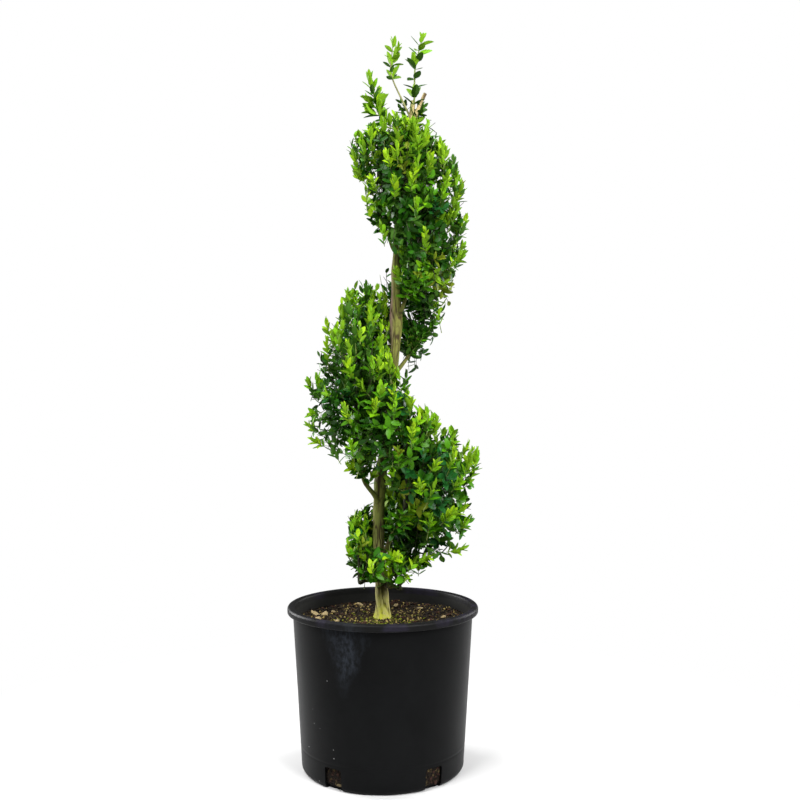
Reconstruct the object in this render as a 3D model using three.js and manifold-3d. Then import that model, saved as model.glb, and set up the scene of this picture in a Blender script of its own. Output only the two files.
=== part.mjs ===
// A spiral topiary: one small-leaved evergreen shrub, clipped to a left-handed spiral round its
// trunk, in a black nursery pot. Millimetres, +Z up, -Y to the front. The origin is the middle of
// the pot's flat underside. The plant's own heights are counted from the soil.
import * as THREE from "three";
import { mergeVertices } from "three/addons/utils/BufferGeometryUtils.js";
import Module from "manifold-3d";

const wasm = await Module();
wasm.setup();

// ---- driving sizes ----
const GAP = 0.3; // clearance between pieces that touch
const SHORTEST_EDGE = 0.03; // shorter ones, left by joining, are merged away

const POT = {
  height: 254,
  rimRadius: 150, // over the rolled lip
  lipHeight: 11,
  wallTop: 141, // outer radius of the wall under the lip
  wallFoot: 126.5, // outer radius of the wall at the foot
  wall: 3,
  floor: 4,
  footRound: 8,
  lipEdge: 2, // what is taken off the lip's lower edge
  sides: 36,
};
const DRAIN = { count: 5, firstDegrees: 37.5, width: 30, height: 33, depth: 9 };

const SOIL = { level: 232, mound: 3, flatRadius: 30, rings: 3 };

// The trunk's axis: height over the soil, sideways lean, forward lean.
const TRUNK_AXIS = [
  [0, 0, 0],
  [14, 0, 0],
  [60, -3, 0],
  [130, -7, -1],
  [210, -4, 0],
  [320, 9, 2],
  [439, 20, 2],
  [557, 21, -1],
  [680, 31, -2],
  [767, 42, 0],
  [815, 47, 0],
];
const TRUNK = {
  footRadius: 9.3,
  tipRadius: 3.2,
  flare: 4.5, // what the root flare adds at the soil
  flareHeight: 16,
  roots: 5,
  rootDepth: 0.35, // how deep the grooves between the roots are, as a share of the flare
  taperPower: 1.6,
  sides: 10,
  steps: 26,
};
// The cut stub of a second leader: how far below the trunk's top it starts, its rise and radii.
const STUB = { drop: 48, rise: [16, -2, 46], footRadius: 3.4, tipRadius: 2.8, sides: 6 };

// The strand of foliage that winds up the trunk, turn by turn from the front by way of the left:
// turn, height of its middle, half its height, and how far it reaches from the trunk's axis.
const STRAND = [
  [-0.2, 78, 28, 80],
  [0.0, 88, 46, 96],
  [0.25, 118, 60, 70],
  [0.5, 154, 94, 128],
  [0.75, 202, 124, 160],
  [1.0, 312, 112, 156],
  [1.25, 385, 138, 152],
  [1.5, 485, 124, 138],
  [1.75, 592, 134, 134],
  [2.0, 665, 114, 134],
  [2.25, 738, 86, 102],
  [2.5, 768, 58, 84],
  [2.8, 780, 42, 76],
];
const SEED = 210; // chooses the plant's accidents of growth
const MASSES = 12; // the strand is split into this many masses, each about a quarter of a turn
const TRUNK_CLEARANCE = 4; // between the trunk and the leaves round it
const SECTOR_GAP = 0.5; // each mass keeps this far inside its own sector
const OVERSHOOT = 1.15; // how far past the strand's skin a leaf may reach, as a squared share

const CORE = { share: 0.4, endShare: 0.06, endSize: 0.8, roughness: 0.2, sides: 8, steps: 4 };
const BOUGH = {
  turnShare: 0.35, // where along its mass a bough enters it
  entryDegrees: -118, // and where on the mass's section: its lower, inner side
  entryShare: 0.88,
  lowest: 62, // the lowest height at which a bough leaves the trunk
  rise: 1.4, // how far a bough rises for each millimetre that it reaches out
  bend: 0.15,
  thickness: 0.45, // of the trunk's radius there
  leastRadius: 2,
  taper: 0.65,
  sides: 6,
  steps: 5,
};
const STEM = { lead: 12, endShare: 0.8, endUp: 0.3, tipRadius: 1, sides: 5, steps: 6 };
const TWIG = { perMass: 12, radius: 1.7, taper: 0.65, from: 0.2, lag: 0.15, margin: 0.12, least: 8 };
const LEAF = {
  length: 42,
  width: 21,
  thickness: 1.4,
  widest: 0.56, // of the way along it
  sunk: 1.5, // how far under the twig's tip the first pair grows
  spacing: 7, // between two pairs
  perTwig: 4,
  spreadDegrees: [30, 48], // of the first pair and the second
  lift: 0.3, // how strongly leaves turn upward
};

// Loose shoots above the strand: where each leaves the trunk, and its way from there.
const SPRIGS = [
  { name: "sprig_right", foot: 801, way: [[50, -5, 822], [50, -6, 858], [55, -4, 886], [60, -4, 908]] },
  { name: "sprig_middle", foot: 788, way: [[32, -6, 812], [16, -8, 846], [12, -6, 868], [16, -6, 902]] },
  { name: "sprig_left", foot: 797, way: [[28, 8, 812], [4, 10, 826], [-14, 8, 838], [-24, 8, 852]] },
];
const SPRIG = {
  radius: 1.8,
  taper: 0.55,
  bareShare: 0.45, // of its length, up to the first leaves
  pairs: 4,
  leafSize: 0.62,
  sides: 5,
  steps: 6,
};

// ---- small tools ----

// A repeatable random number from 0 to 1.
function seeded(seed) {
  let state = seed >>> 0;
  return () => {
    state = (state + 0x6d2b79f5) >>> 0;
    let mixed = Math.imul(state ^ (state >>> 15), 1 | state);
    mixed = (mixed + Math.imul(mixed ^ (mixed >>> 7), 61 | mixed)) ^ mixed;
    return ((mixed ^ (mixed >>> 14)) >>> 0) / 4294967296;
  };
}

const GOLDEN_STEP = 0.618034; // steps of this share of a stretch spread things evenly along it
const between = (low, high, share) => low + (high - low) * share;

// A smooth curve through a table's rows, whose first column rises: the other columns at a place.
function smoothRow(table, place) {
  const last = table.length - 1;
  let row = 0;
  while (row < last - 1 && place > table[row + 1][0]) row += 1;
  const [a, b, c, d] = [row - 1, row, row + 1, row + 2].map(
    (at) => table[THREE.MathUtils.clamp(at, 0, last)],
  );
  const span = c[0] - b[0];
  const t = THREE.MathUtils.clamp((place - b[0]) / span, 0, 1);
  const slope = (from, to, column) =>
    to[0] === from[0] ? 0 : ((to[column] - from[column]) / (to[0] - from[0])) * span;
  return b.slice(1).map((start, index) => {
    const column = index + 1;
    const end = c[column];
    const startSlope = slope(a, c, column);
    const endSlope = slope(b, d, column);
    return (
      start * (2 * t ** 3 - 3 * t ** 2 + 1) +
      startSlope * (t ** 3 - 2 * t ** 2 + t) +
      end * (3 * t ** 2 - 2 * t ** 3) +
      endSlope * (t ** 3 - t ** 2)
    );
  });
}

// A closed geometry as a solid for cutting and joining.
function solidOf(geometry) {
  const bare = geometry.clone();
  bare.deleteAttribute("normal");
  bare.deleteAttribute("uv");
  const merged = mergeVertices(bare, 1e-4);
  return new wasm.Manifold(
    new wasm.Mesh({
      numProp: 3,
      vertProperties: new Float32Array(merged.attributes.position.array),
      triVerts: new Uint32Array(merged.index.array),
    }),
  );
}

// The solid's largest body as a geometry, with loose scraps dropped and edges too short to keep
// merged away.
function geometryOf(solid) {
  const bodies = solid.setTolerance(SHORTEST_EDGE).decompose();
  const whole = bodies.reduce((a, b) => (b.volume() > a.volume() ? b : a));
  const mesh = whole.getMesh();
  const geometry = new THREE.BufferGeometry();
  geometry.setAttribute("position", new THREE.BufferAttribute(mesh.vertProperties, 3));
  geometry.setIndex(new THREE.BufferAttribute(mesh.triVerts, 1));
  geometry.computeVertexNormals();
  return geometry;
}

// Moves each point of a geometry to where place(x, y, z) puts it.
function reshaped(geometry, place) {
  const points = geometry.attributes.position;
  for (let i = 0; i < points.count; i += 1) {
    const to = place(points.getX(i), points.getY(i), points.getZ(i));
    points.setXYZ(i, to.x, to.y, to.z);
  }
  geometry.computeVertexNormals();
  return geometry;
}

// A tapering limb along a curve: a capped cylinder, bent so that its own axis follows the curve.
function limb(curve, radiusAt, sides, steps) {
  const { normals, binormals } = curve.computeFrenetFrames(steps);
  return reshaped(new THREE.CylinderGeometry(1, 1, 1, sides, steps), (x, y, z) => {
    const step = Math.round((y + 0.5) * steps);
    const along = step / steps;
    const radius = radiusAt(along, Math.atan2(z, x));
    return curve
      .getPointAt(along)
      .addScaledVector(normals[step], x * radius)
      .addScaledVector(binormals[step], -z * radius);
  });
}

// ---- the plant's two guiding shapes: the trunk and the strand ----

function trunkCentre(height) {
  const [side, forward] = smoothRow(TRUNK_AXIS, height);
  return new THREE.Vector3(side, forward, height);
}

const TRUNK_TOP = TRUNK_AXIS.at(-1)[0];

function trunkRadius(height) {
  const share = THREE.MathUtils.clamp(height / TRUNK_TOP, 0, 1);
  const flare = TRUNK.flare * Math.exp(-Math.max(height, 0) / TRUNK.flareHeight);
  return between(TRUNK.footRadius, TRUNK.tipRadius, share ** TRUNK.taperPower) + flare;
}

// The way out from the trunk at a turn: the front at 0, the left at a quarter.
function outward(turn) {
  const angle = turn * 2 * Math.PI;
  return new THREE.Vector3(-Math.sin(angle), -Math.cos(angle), 0);
}

// The strand's section at a turn: an ellipse with its middle at a radius and a height.
function section(turn) {
  const [height, halfHeight, reach] = smoothRow(STRAND, turn);
  const inner = trunkRadius(height) + TRUNK_CLEARANCE;
  return {
    height,
    halfHeight,
    radius: (reach + inner) / 2,
    halfWidth: (reach - inner) / 2,
  };
}

// A place in the strand: angle 0 is outward and 90 degrees up; share 0 is the middle, 1 the skin.
function strandPoint(turn, angle, share) {
  const at = section(turn);
  const height = at.height + share * at.halfHeight * Math.sin(angle);
  const radius = at.radius + share * at.halfWidth * Math.cos(angle);
  return trunkCentre(height).addScaledVector(outward(turn), radius);
}

// Whether a point is in the part of the strand from one turn to another, clear of both ends.
function inSector(point, first, last) {
  const fromTrunk = point.clone().sub(trunkCentre(point.z));
  const radius = Math.hypot(fromTrunk.x, fromTrunk.y);
  const around = Math.atan2(-fromTrunk.x, -fromTrunk.y) / (2 * Math.PI);
  const turn = around + Math.round((first + last) / 2 - around);
  const margin = SECTOR_GAP / (2 * Math.PI * radius);
  if (turn < first + margin || turn > last - margin) return false;
  if (radius < trunkRadius(point.z) + TRUNK_CLEARANCE) return false;
  const at = section(turn);
  const across = (radius - at.radius) / at.halfWidth;
  const up = (point.z - at.height) / at.halfHeight;
  return across ** 2 + up ** 2 < OVERSHOOT;
}

// ---- the trunk and its boughs ----

class TrunkCurve extends THREE.Curve {
  getPoint(t) {
    return trunkCentre(t * TRUNK_TOP);
  }
}

// The trunk with an added skin: 0 for the trunk itself, more for the clearance round it.
function trunkSolid(skin) {
  const radiusAt = (along, angle) => {
    const height = along * TRUNK_TOP;
    const depth = TRUNK.rootDepth * TRUNK.flare * Math.exp(-height / TRUNK.flareHeight);
    return trunkRadius(height) + depth * Math.cos(TRUNK.roots * angle) + skin;
  };
  return solidOf(limb(new TrunkCurve(), radiusAt, TRUNK.sides, TRUNK.steps));
}

// The stub of a second leader, cut off beside the trunk's own cut top.
function leaderStub() {
  const foot = trunkCentre(TRUNK_TOP - STUB.drop);
  const line = new THREE.LineCurve3(foot, foot.clone().add(new THREE.Vector3(...STUB.rise)));
  const radiusAt = (along) => between(STUB.footRadius, STUB.tipRadius, along);
  return solidOf(limb(line, radiusAt, STUB.sides, 1));
}

// A bough leaves the trunk below its mass and rises into the mass's inner, lower side.
function boughCurve(turn) {
  const angle = THREE.MathUtils.degToRad(BOUGH.entryDegrees);
  const entry = strandPoint(turn, angle, BOUGH.entryShare);
  const run = entry.clone().sub(trunkCentre(entry.z)).length();
  const foot = trunkCentre(Math.max(entry.z - BOUGH.rise * run, Math.min(BOUGH.lowest, entry.z)));
  const bend = foot.clone().lerp(entry, 0.5).addScaledVector(outward(turn), run * BOUGH.bend);
  return new THREE.QuadraticBezierCurve3(foot, bend, entry);
}

function boughRadius(curve) {
  return Math.max(BOUGH.leastRadius, BOUGH.thickness * trunkRadius(curve.v0.z));
}

function boughSolid(curve) {
  const root = boughRadius(curve);
  const radiusAt = (along) => root * between(1, BOUGH.taper, along);
  return solidOf(limb(curve, radiusAt, BOUGH.sides, BOUGH.steps)).subtract(trunkSolid(GAP));
}

// ---- the foliage ----

// One leaf: a thin eight-faced lens from its root, widest past the middle.
function leafSolid(root, along, face, size) {
  const side = new THREE.Vector3().crossVectors(along, face).normalize();
  const up = new THREE.Vector3().crossVectors(side, along).normalize();
  const shape = new THREE.OctahedronGeometry(1, 0);
  return solidOf(
    reshaped(shape, (x, y, z) => {
      const reach = (Math.abs(y) > 0.5 ? (y + 1) / 2 : LEAF.widest) * LEAF.length * size;
      return root
        .clone()
        .addScaledVector(along, reach)
        .addScaledVector(side, (x * LEAF.width * size) / 2)
        .addScaledVector(up, (z * LEAF.thickness) / 2);
    }),
  );
}

// The leaf's tip and its two widest points.
function leafPoints(root, along, face, size) {
  const side = new THREE.Vector3().crossVectors(along, face).normalize();
  const middle = root.clone().addScaledVector(along, LEAF.widest * LEAF.length * size);
  const half = (LEAF.width * size) / 2;
  return [
    root.clone().addScaledVector(along, LEAF.length * size),
    middle.clone().addScaledVector(side, half),
    middle.clone().addScaledVector(side, -half),
  ];
}

// The leaves of one twig: two pairs that cross each other, the pair at its tip spread less.
function twigLeaves(root, tip, size, fits, random) {
  const along = tip.clone().sub(root).normalize();
  const across = new THREE.Vector3(0, 0, 1).cross(along);
  if (across.lengthSq() < 1e-3) across.set(1, 0, 0);
  across.normalize();
  const leaves = [];
  const roll = random() * Math.PI;
  for (let i = 0; i < LEAF.perTwig; i += 1) {
    const pair = Math.floor(i / 2);
    const place = tip.clone().addScaledVector(along, -LEAF.sunk - pair * LEAF.spacing);
    const turnBy = roll + pair * (Math.PI / 2) + (i % 2) * Math.PI;
    const away = across.clone().applyAxisAngle(along, turnBy);
    const spread = THREE.MathUtils.degToRad(LEAF.spreadDegrees[pair] + 10 * random());
    const out = along.clone().multiplyScalar(Math.cos(spread));
    out.addScaledVector(away, Math.sin(spread));
    out.z += LEAF.lift;
    out.normalize();
    const scale = size * between(0.85, 1.1, random());
    const face = along.clone().multiplyScalar(-1).addScaledVector(away, 0.2);
    if (leafPoints(place, out, face, scale).every(fits)) {
      leaves.push(leafSolid(place, out, face, scale));
    }
  }
  return leaves;
}

// The lumpy, smaller core of a mass, in its own sector.
function coreSolid(first, last, random) {
  const lumps = Array.from({ length: CORE.sides * (CORE.steps + 1) }, () => random());
  const cylinder = new THREE.CylinderGeometry(1, 1, 1, CORE.sides, CORE.steps);
  return solidOf(
    reshaped(cylinder, (x, y, z) => {
      const step = Math.round((y + 0.5) * CORE.steps);
      const along = between(CORE.endShare, 1 - CORE.endShare, step / CORE.steps);
      const angle = Math.atan2(-z, x);
      const side = Math.round((1 + angle / (2 * Math.PI)) * CORE.sides) % CORE.sides;
      const lump = 1 + CORE.roughness * (2 * lumps[step * CORE.sides + side] - 1);
      const ends = step === 0 || step === CORE.steps ? CORE.endSize : 1;
      const share = Math.hypot(x, z) * CORE.share * lump * ends;
      return strandPoint(between(first, last, along), angle, share);
    }),
  );
}

// The stem that carries a mass on from its bough's tip, a hair's breadth clear of it.
function massStem(bough, first, last) {
  const tip = bough.getPoint(1);
  const on = bough.getTangent(1);
  const curve = new THREE.CatmullRomCurve3([
    tip.clone().addScaledVector(on, GAP),
    tip.clone().addScaledVector(on, STEM.lead),
    strandPoint((first + last) / 2, 0, 0),
    strandPoint(between(first, last, STEM.endShare), Math.PI / 2, STEM.endUp),
  ]);
  const root = boughRadius(bough) * BOUGH.taper;
  const radiusAt = (along) => between(root, STEM.tipRadius, along);
  return solidOf(limb(curve, radiusAt, STEM.sides, STEM.steps));
}

// Whether a point keeps clear of a bough's outer half.
function clearOf(bough, point) {
  const near = boughRadius(bough) + LEAF.length / 4;
  return [0.55, 0.7, 0.85, 1].every((along) => bough.getPoint(along).distanceTo(point) > near);
}

// One mass: its stem, its core, and twigs spread evenly over its skin, each with its leaves.
function massSolid(first, last, bough, seed) {
  const random = seeded(seed);
  const fits = (point) => inSector(point, first, last) && clearOf(bough, point);
  const parts = [massStem(bough, first, last), coreSolid(first, last, random)];
  for (let i = 0; i < TWIG.perMass; i += 1) {
    const place = between(TWIG.margin, 1 - TWIG.margin, ((i + 0.5) * GOLDEN_STEP) % 1);
    const turn = between(first, last, place);
    const angle = (2 * Math.PI * (i + 0.5 * random())) / TWIG.perMass;
    const size = between(0.85, 1.05, random());
    const root = strandPoint(turn, angle - TWIG.lag, TWIG.from);
    const skin = strandPoint(turn, angle, 1);
    const span = skin.distanceTo(root);
    const length = Math.max(span - 0.9 * LEAF.length * size, TWIG.least);
    const tip = root.clone().lerp(skin, length / span);
    if (!fits(tip)) continue;
    const radiusAt = (along) => TWIG.radius * between(1, TWIG.taper, along);
    parts.push(solidOf(limb(new THREE.LineCurve3(root, tip), radiusAt, 3, 1)));
    parts.push(...twigLeaves(root, tip, size, fits, random));
  }
  return wasm.Manifold.union(parts);
}

// A loose shoot: a thin stem from the trunk with crossing pairs of leaves up its outer part.
function sprigSolid({ foot, way }, seed) {
  const random = seeded(seed);
  const points = [trunkCentre(foot), ...way.map((point) => new THREE.Vector3(...point))];
  const curve = new THREE.CatmullRomCurve3(points);
  const radiusAt = (along) => SPRIG.radius * between(1, SPRIG.taper, along);
  const parts = [solidOf(limb(curve, radiusAt, SPRIG.sides, SPRIG.steps))];
  for (let pair = 0; pair < SPRIG.pairs; pair += 1) {
    const end = between(SPRIG.bareShare, 1, (pair + 1) / SPRIG.pairs);
    const tip = curve.getPointAt(end);
    const root = tip.clone().sub(curve.getTangentAt(end));
    const leaves = twigLeaves(root, tip, SPRIG.leafSize, () => true, random);
    parts.push(...leaves.slice(0, 2));
  }
  return wasm.Manifold.union(parts).subtract(trunkSolid(GAP));
}

// ---- the pot and its soil ----

const WALL_SLOPE = (POT.wallTop - POT.wallFoot) / (POT.height - POT.lipHeight);
const wallRadius = (height) => POT.wallFoot + WALL_SLOPE * height;
const innerRadius = (height) => wallRadius(height) - POT.wall;

// A turned solid, standing on the ground, from its profile of radius and height.
function turned(profile, sides) {
  return new THREE.LatheGeometry(profile, sides).rotateX(Math.PI / 2);
}

function arc(radius, height, size, fromDegrees, toDegrees, steps) {
  return Array.from({ length: steps + 1 }, (_, i) => {
    const angle = THREE.MathUtils.degToRad(between(fromDegrees, toDegrees, i / steps));
    return new THREE.Vector2(radius + size * Math.cos(angle), height + size * Math.sin(angle));
  });
}

// The pot: a tapering wall with a rounded foot, a rolled lip, and drain holes cut at the foot.
function potGeometry() {
  const { height, rimRadius, lipHeight, lipEdge, floor, footRound } = POT;
  const roll = lipHeight / 3;
  const lipFoot = height - lipHeight;
  const profile = [
    new THREE.Vector2(0, 0),
    ...arc(wallRadius(footRound) - footRound, footRound, footRound, -90, 0, 4),
    new THREE.Vector2(wallRadius(lipFoot), lipFoot),
    new THREE.Vector2(rimRadius - lipEdge, lipFoot),
    new THREE.Vector2(rimRadius, lipFoot + lipEdge),
    ...arc(rimRadius - roll, height - roll, roll, 0, 90, 3),
    new THREE.Vector2(innerRadius(height) + 1, height),
    new THREE.Vector2(innerRadius(height - 2), height - 2),
    new THREE.Vector2(innerRadius(floor + 3), floor + 3),
    new THREE.Vector2(innerRadius(floor) - 3, floor),
    new THREE.Vector2(0, floor),
  ];
  let pot = solidOf(turned(profile, POT.sides));
  for (let hole = 0; hole < DRAIN.count; hole += 1) {
    const cutter = new THREE.BoxGeometry(DRAIN.width, 2 * DRAIN.depth, 2 * DRAIN.height)
      .translate(0, -POT.wallFoot, 0)
      .rotateZ(THREE.MathUtils.degToRad(DRAIN.firstDegrees + (360 / DRAIN.count) * hole));
    pot = pot.subtract(solidOf(cutter));
  }
  return geometryOf(pot);
}

// The soil fills the pot from its floor to its level, a little uneven away from the trunk.
function soilGeometry() {
  const { level, mound, flatRadius, rings } = SOIL;
  const reach = (height) => innerRadius(height) - GAP;
  const foot = POT.floor + GAP;
  const top = Array.from({ length: rings + 1 }, (_, i) => {
    return new THREE.Vector2(between(reach(level), flatRadius, i / rings), level);
  });
  const profile = [
    new THREE.Vector2(0, foot),
    new THREE.Vector2(reach(foot) - 4, foot),
    new THREE.Vector2(reach(foot + 4), foot + 4),
    ...top,
    new THREE.Vector2(0, level),
  ];
  return reshaped(turned(profile, POT.sides), (x, y, z) => {
    const radius = Math.hypot(x, y);
    const wave = Math.sin(x / 19) * Math.cos(y / 23) - 0.6;
    const share = THREE.MathUtils.smoothstep(radius, flatRadius, 2 * flatRadius);
    const lift = z > level - 1 ? mound * wave * share : 0;
    return new THREE.Vector3(x, y, z + lift);
  });
}

// ---- the assembly ----

const MATERIALS = {
  pot: new THREE.MeshStandardMaterial({ color: 0x161719, roughness: 0.5 }),
  soil: new THREE.MeshStandardMaterial({ color: 0x3a2c1f, roughness: 0.95 }),
  bark: new THREE.MeshStandardMaterial({ color: 0x8c7a52, roughness: 0.85 }),
  foliage: new THREE.MeshStandardMaterial({ color: 0x2f6b1c, roughness: 0.45 }),
};

function node(name, geometry, material) {
  const mesh = new THREE.Mesh(geometry, material);
  mesh.name = name;
  return mesh;
}

function pottedSpiral() {
  const plant = new THREE.Group();
  plant.position.z = SOIL.level + GAP;
  const trunk = trunkSolid(0).add(leaderStub());
  plant.add(node("trunk", geometryOf(trunk), MATERIALS.bark));

  const [start, end] = [STRAND[0][0], STRAND.at(-1)[0]];
  for (let i = 0; i < MASSES; i += 1) {
    const first = between(start, end, i / MASSES);
    const last = between(start, end, (i + 1) / MASSES);
    const bough = boughCurve(between(first, last, BOUGH.turnShare));
    const mass = massSolid(first, last, bough, SEED + i);
    plant.add(
      node(`bough_${i + 1}`, geometryOf(boughSolid(bough)), MATERIALS.bark),
      node(`foliage_${i + 1}`, geometryOf(mass), MATERIALS.foliage),
    );
  }
  SPRIGS.forEach((sprig, i) => {
    plant.add(node(sprig.name, geometryOf(sprigSolid(sprig, SEED + MASSES + i)), MATERIALS.foliage));
  });

  const topiary = new THREE.Group();
  topiary.add(
    node("pot", potGeometry(), MATERIALS.pot),
    node("soil", soilGeometry(), MATERIALS.soil),
    plant,
  );
  return topiary;
}

export default pottedSpiral();
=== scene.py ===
"""A potted spiral topiary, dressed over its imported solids.

One small-leaved evergreen shrub winds up its trunk as a left-handed strand of foliage over a black
nursery pot. Shapes are worked out in millimetres and stored in metres, +Z up, -Y to the front, with
the plant's own heights counted from the soil.
"""

import math

import bpy
import numpy as np
from bpy.props import FloatProperty, FloatVectorProperty, IntProperty, PointerProperty
from bpy.types import Operator, Panel, PropertyGroup
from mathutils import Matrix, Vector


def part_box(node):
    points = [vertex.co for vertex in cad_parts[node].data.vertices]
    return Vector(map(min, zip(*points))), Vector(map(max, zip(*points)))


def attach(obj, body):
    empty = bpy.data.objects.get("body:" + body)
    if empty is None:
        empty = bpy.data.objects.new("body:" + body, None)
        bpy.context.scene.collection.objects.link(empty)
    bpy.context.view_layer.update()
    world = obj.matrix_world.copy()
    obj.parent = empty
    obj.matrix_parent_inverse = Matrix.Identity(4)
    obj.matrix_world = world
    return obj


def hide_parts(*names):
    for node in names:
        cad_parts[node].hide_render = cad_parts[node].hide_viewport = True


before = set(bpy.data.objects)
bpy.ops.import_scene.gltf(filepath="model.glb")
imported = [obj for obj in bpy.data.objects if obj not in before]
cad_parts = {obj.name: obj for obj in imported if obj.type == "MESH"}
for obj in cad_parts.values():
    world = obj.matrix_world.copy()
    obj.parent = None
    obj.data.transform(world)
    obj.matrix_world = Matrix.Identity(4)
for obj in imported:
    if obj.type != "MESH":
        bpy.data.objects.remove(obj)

bl_info = {
    "name": "Potted spiral topiary",
    "version": (1, 0, 0),
    "blender": (4, 5, 0),
    "location": "3D View > Sidebar > Topiary",
    "description": "Grows a clipped spiral shrub in a nursery pot",
    "category": "Add Mesh",
}

MM = 0.001
BODY = "root"
UP = np.array([0, 0, 1.0])
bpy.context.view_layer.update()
POT_HIGH = np.array(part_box("pot")[1]) / MM
TRUNK_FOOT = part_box("trunk")[0][2] / MM
SOIL_LEVEL = TRUNK_FOOT - 0.3  # the trunk's flat foot lies a hair over the soil
MASSES = sum(name.startswith("foliage_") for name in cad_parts)
BOUGH_NODES = [f"bough_{i + 1}" for i in range(MASSES)]
FOLIAGE_NODES = [f"foliage_{i + 1}" for i in range(MASSES)] + ["sprig_right", "sprig_middle", "sprig_left"]
GOLDEN_STEP = 0.618034
GOLDEN_ANGLE = 2.399963

# ---- sizes that the solids have as well ----

POT = dict(foot=126.5, top=141.0, wall_height=243.0)
DRAIN = dict(half_width=15.0, top=33.0, depth=9.0, corner=4.0)
DRAIN_ANGLES = 37.5 + 72 * np.arange(5)

# The trunk's axis: height over the soil, sideways lean, forward lean.
TRUNK_AXIS = np.array([
    [0, 0, 0], [14, 0, 0], [60, -3, 0], [130, -7, -1], [210, -4, 0], [320, 9, 2],
    [439, 20, 2], [557, 21, -1], [680, 31, -2], [767, 42, 0], [815, 47, 0],
], float)
TRUNK_TOP = TRUNK_AXIS[-1, 0]
TRUNK = dict(foot=9.3, tip=3.2, flare=4.5, flare_height=16.0, roots=5, root_depth=0.35, taper=1.6)

# The strand of foliage, turn by turn from the front by way of the left: turn, height of its
# middle, half its height, and how far it reaches from the trunk's axis.
STRAND = np.array([
    [-0.2, 78, 28, 80], [0.0, 88, 46, 96], [0.25, 118, 60, 70], [0.5, 154, 94, 128],
    [0.75, 202, 124, 160], [1.0, 312, 112, 156], [1.25, 385, 138, 152], [1.5, 485, 124, 138],
    [1.75, 592, 134, 134], [2.0, 665, 114, 134], [2.25, 738, 86, 102], [2.5, 768, 58, 84],
    [2.8, 780, 42, 76],
], float)
TRUNK_CLEARANCE = 4.0
BOUGH = dict(turn_share=0.35, entry=-118.0, entry_share=0.88, lowest=62.0, rise=1.4, bend=0.15,
             thickness=0.45, least=2.0, taper=0.65)
STEM = dict(lead=12.0, end_share=0.8, end_up=0.3, tip=1.0)
TWIG = dict(lag=0.15, start=0.2, skin=0.97, radius=0.75, taper=0.5)  # thinner than the solids'

# ---- sizes of the finer growth, and what was mended after the solids ----

# Swellings where boughs once left the trunk: height, how much is added, and how far it spreads.
KNOTS = np.array([[36, 0.7, 9], [212, 1.6, 12], [300, 1.2, 14], [470, 2.6, 34], [545, 1.4, 16],
                  [640, 1.0, 14], [742, 1.4, 14]], float)

# The shears keep the small leaves inside the reach of the solids' few large ones: at each turn, the
# shares that they leave of the strand's height above its middle, of its height below, of its reach
# and of its young shoots, and how far its section leans in towards the trunk at the top.
CLIPPED = np.array([
    [-0.20, 0.80, 0.78, 0.80, 0.70, 0.00], [0.25, 0.58, 0.75, 0.76, 0.50, 0.00],
    [0.45, 0.30, 0.62, 0.80, 0.50, 0.00], [0.75, 0.66, 0.98, 0.95, 0.90, -0.04],
    [0.90, 0.55, 0.78, 0.83, 1.00, 0.15], [1.10, 0.86, 0.74, 0.84, 0.70, 0.10],
    [1.25, 0.92, 0.84, 0.82, 0.70, 0.30], [1.40, 0.60, 0.80, 0.76, 0.30, 0.20],
    [1.50, 0.84, 0.86, 0.76, 0.30, 0.00], [1.58, 0.82, 1.16, 0.78, 0.50, 0.00],
    [1.72, 0.88, 0.87, 0.78, 1.00, -0.10], [1.85, 0.94, 0.95, 0.76, 1.20, 0.30],
    [2.00, 0.86, 0.97, 0.77, 1.30, 0.00], [2.12, 0.58, 0.80, 0.77, 1.40, -0.35],
    [2.25, 0.36, 0.68, 0.83, 1.30, -0.15], [2.50, 0.30, 0.70, 0.76, 0.30, 0.00],
    [2.80, 0.10, 0.40, 0.60, 0.20, 0.00],
], float)
# How far out in the strand's section leaves may reach, as a squared share.
REACH = dict(grown=1.02, young=1.5)

# The loose shoots over the strand: the height where each leaves the trunk, its way, its stem's
# colour, the share of it that is bare, the distance between its pairs of leaves, how many pairs
# bear a side shoot, the length of the young tuft at its end, and its leaves' length. The first two
# follow their solids and stop 6 and 8 mm short; the last is lower than its solid and fuller.
SPRIGS = [
    dict(foot=801, way=[[50, -5, 822], [50, -6, 858], [55, -4, 886], [59, -4, 902]],
         stem="green", bare=0.1, gap=11, shoots=0.14, tuft=10, leaf=(20, 30)),
    dict(foot=788, way=[[32, -6, 812], [16, -8, 846], [12, -6, 868], [15, -6, 894]],
         stem="pale", bare=0.42, gap=13, shoots=0.12, tuft=10, leaf=(14, 23)),
    dict(foot=772, way=[[22, 2, 772], [2, 0, 778], [-8, 0, 800], [-13, 0, 818]],
         stem="green", bare=0.3, gap=6.5, shoots=0.6, tuft=30, leaf=(21, 30)),
]
# Short leafy shoots round the trunk's top: their heights, lengths and lean from upright. In front
# they stop lower, under the cut stubs.
COLLAR = dict(count=24, low=700.0, high=800.0, front_top=736.0, shortest=18.0, longest=34.0,
              lean=(30, 60), young=0.25, lift=0.5)
# Fresh bark chips on the soil: where each lies, and its three sizes.
FRESH_CHIPS = np.array([
    [-101, -22, 17, 12, 8], [-92, 8, 15, 11, 8], [-108, 16, 20, 9, 7], [-80, 34, 12, 9, 6],
    [-70, -30, 11, 8, 5], [96, 12, 9, 7, 5], [60, 66, 12, 9, 5], [-40, 88, 13, 8, 6],
    [20, 96, 11, 9, 5], [104, -34, 8, 6, 5],
], float)

# ---- the colours and the lights ----

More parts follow.
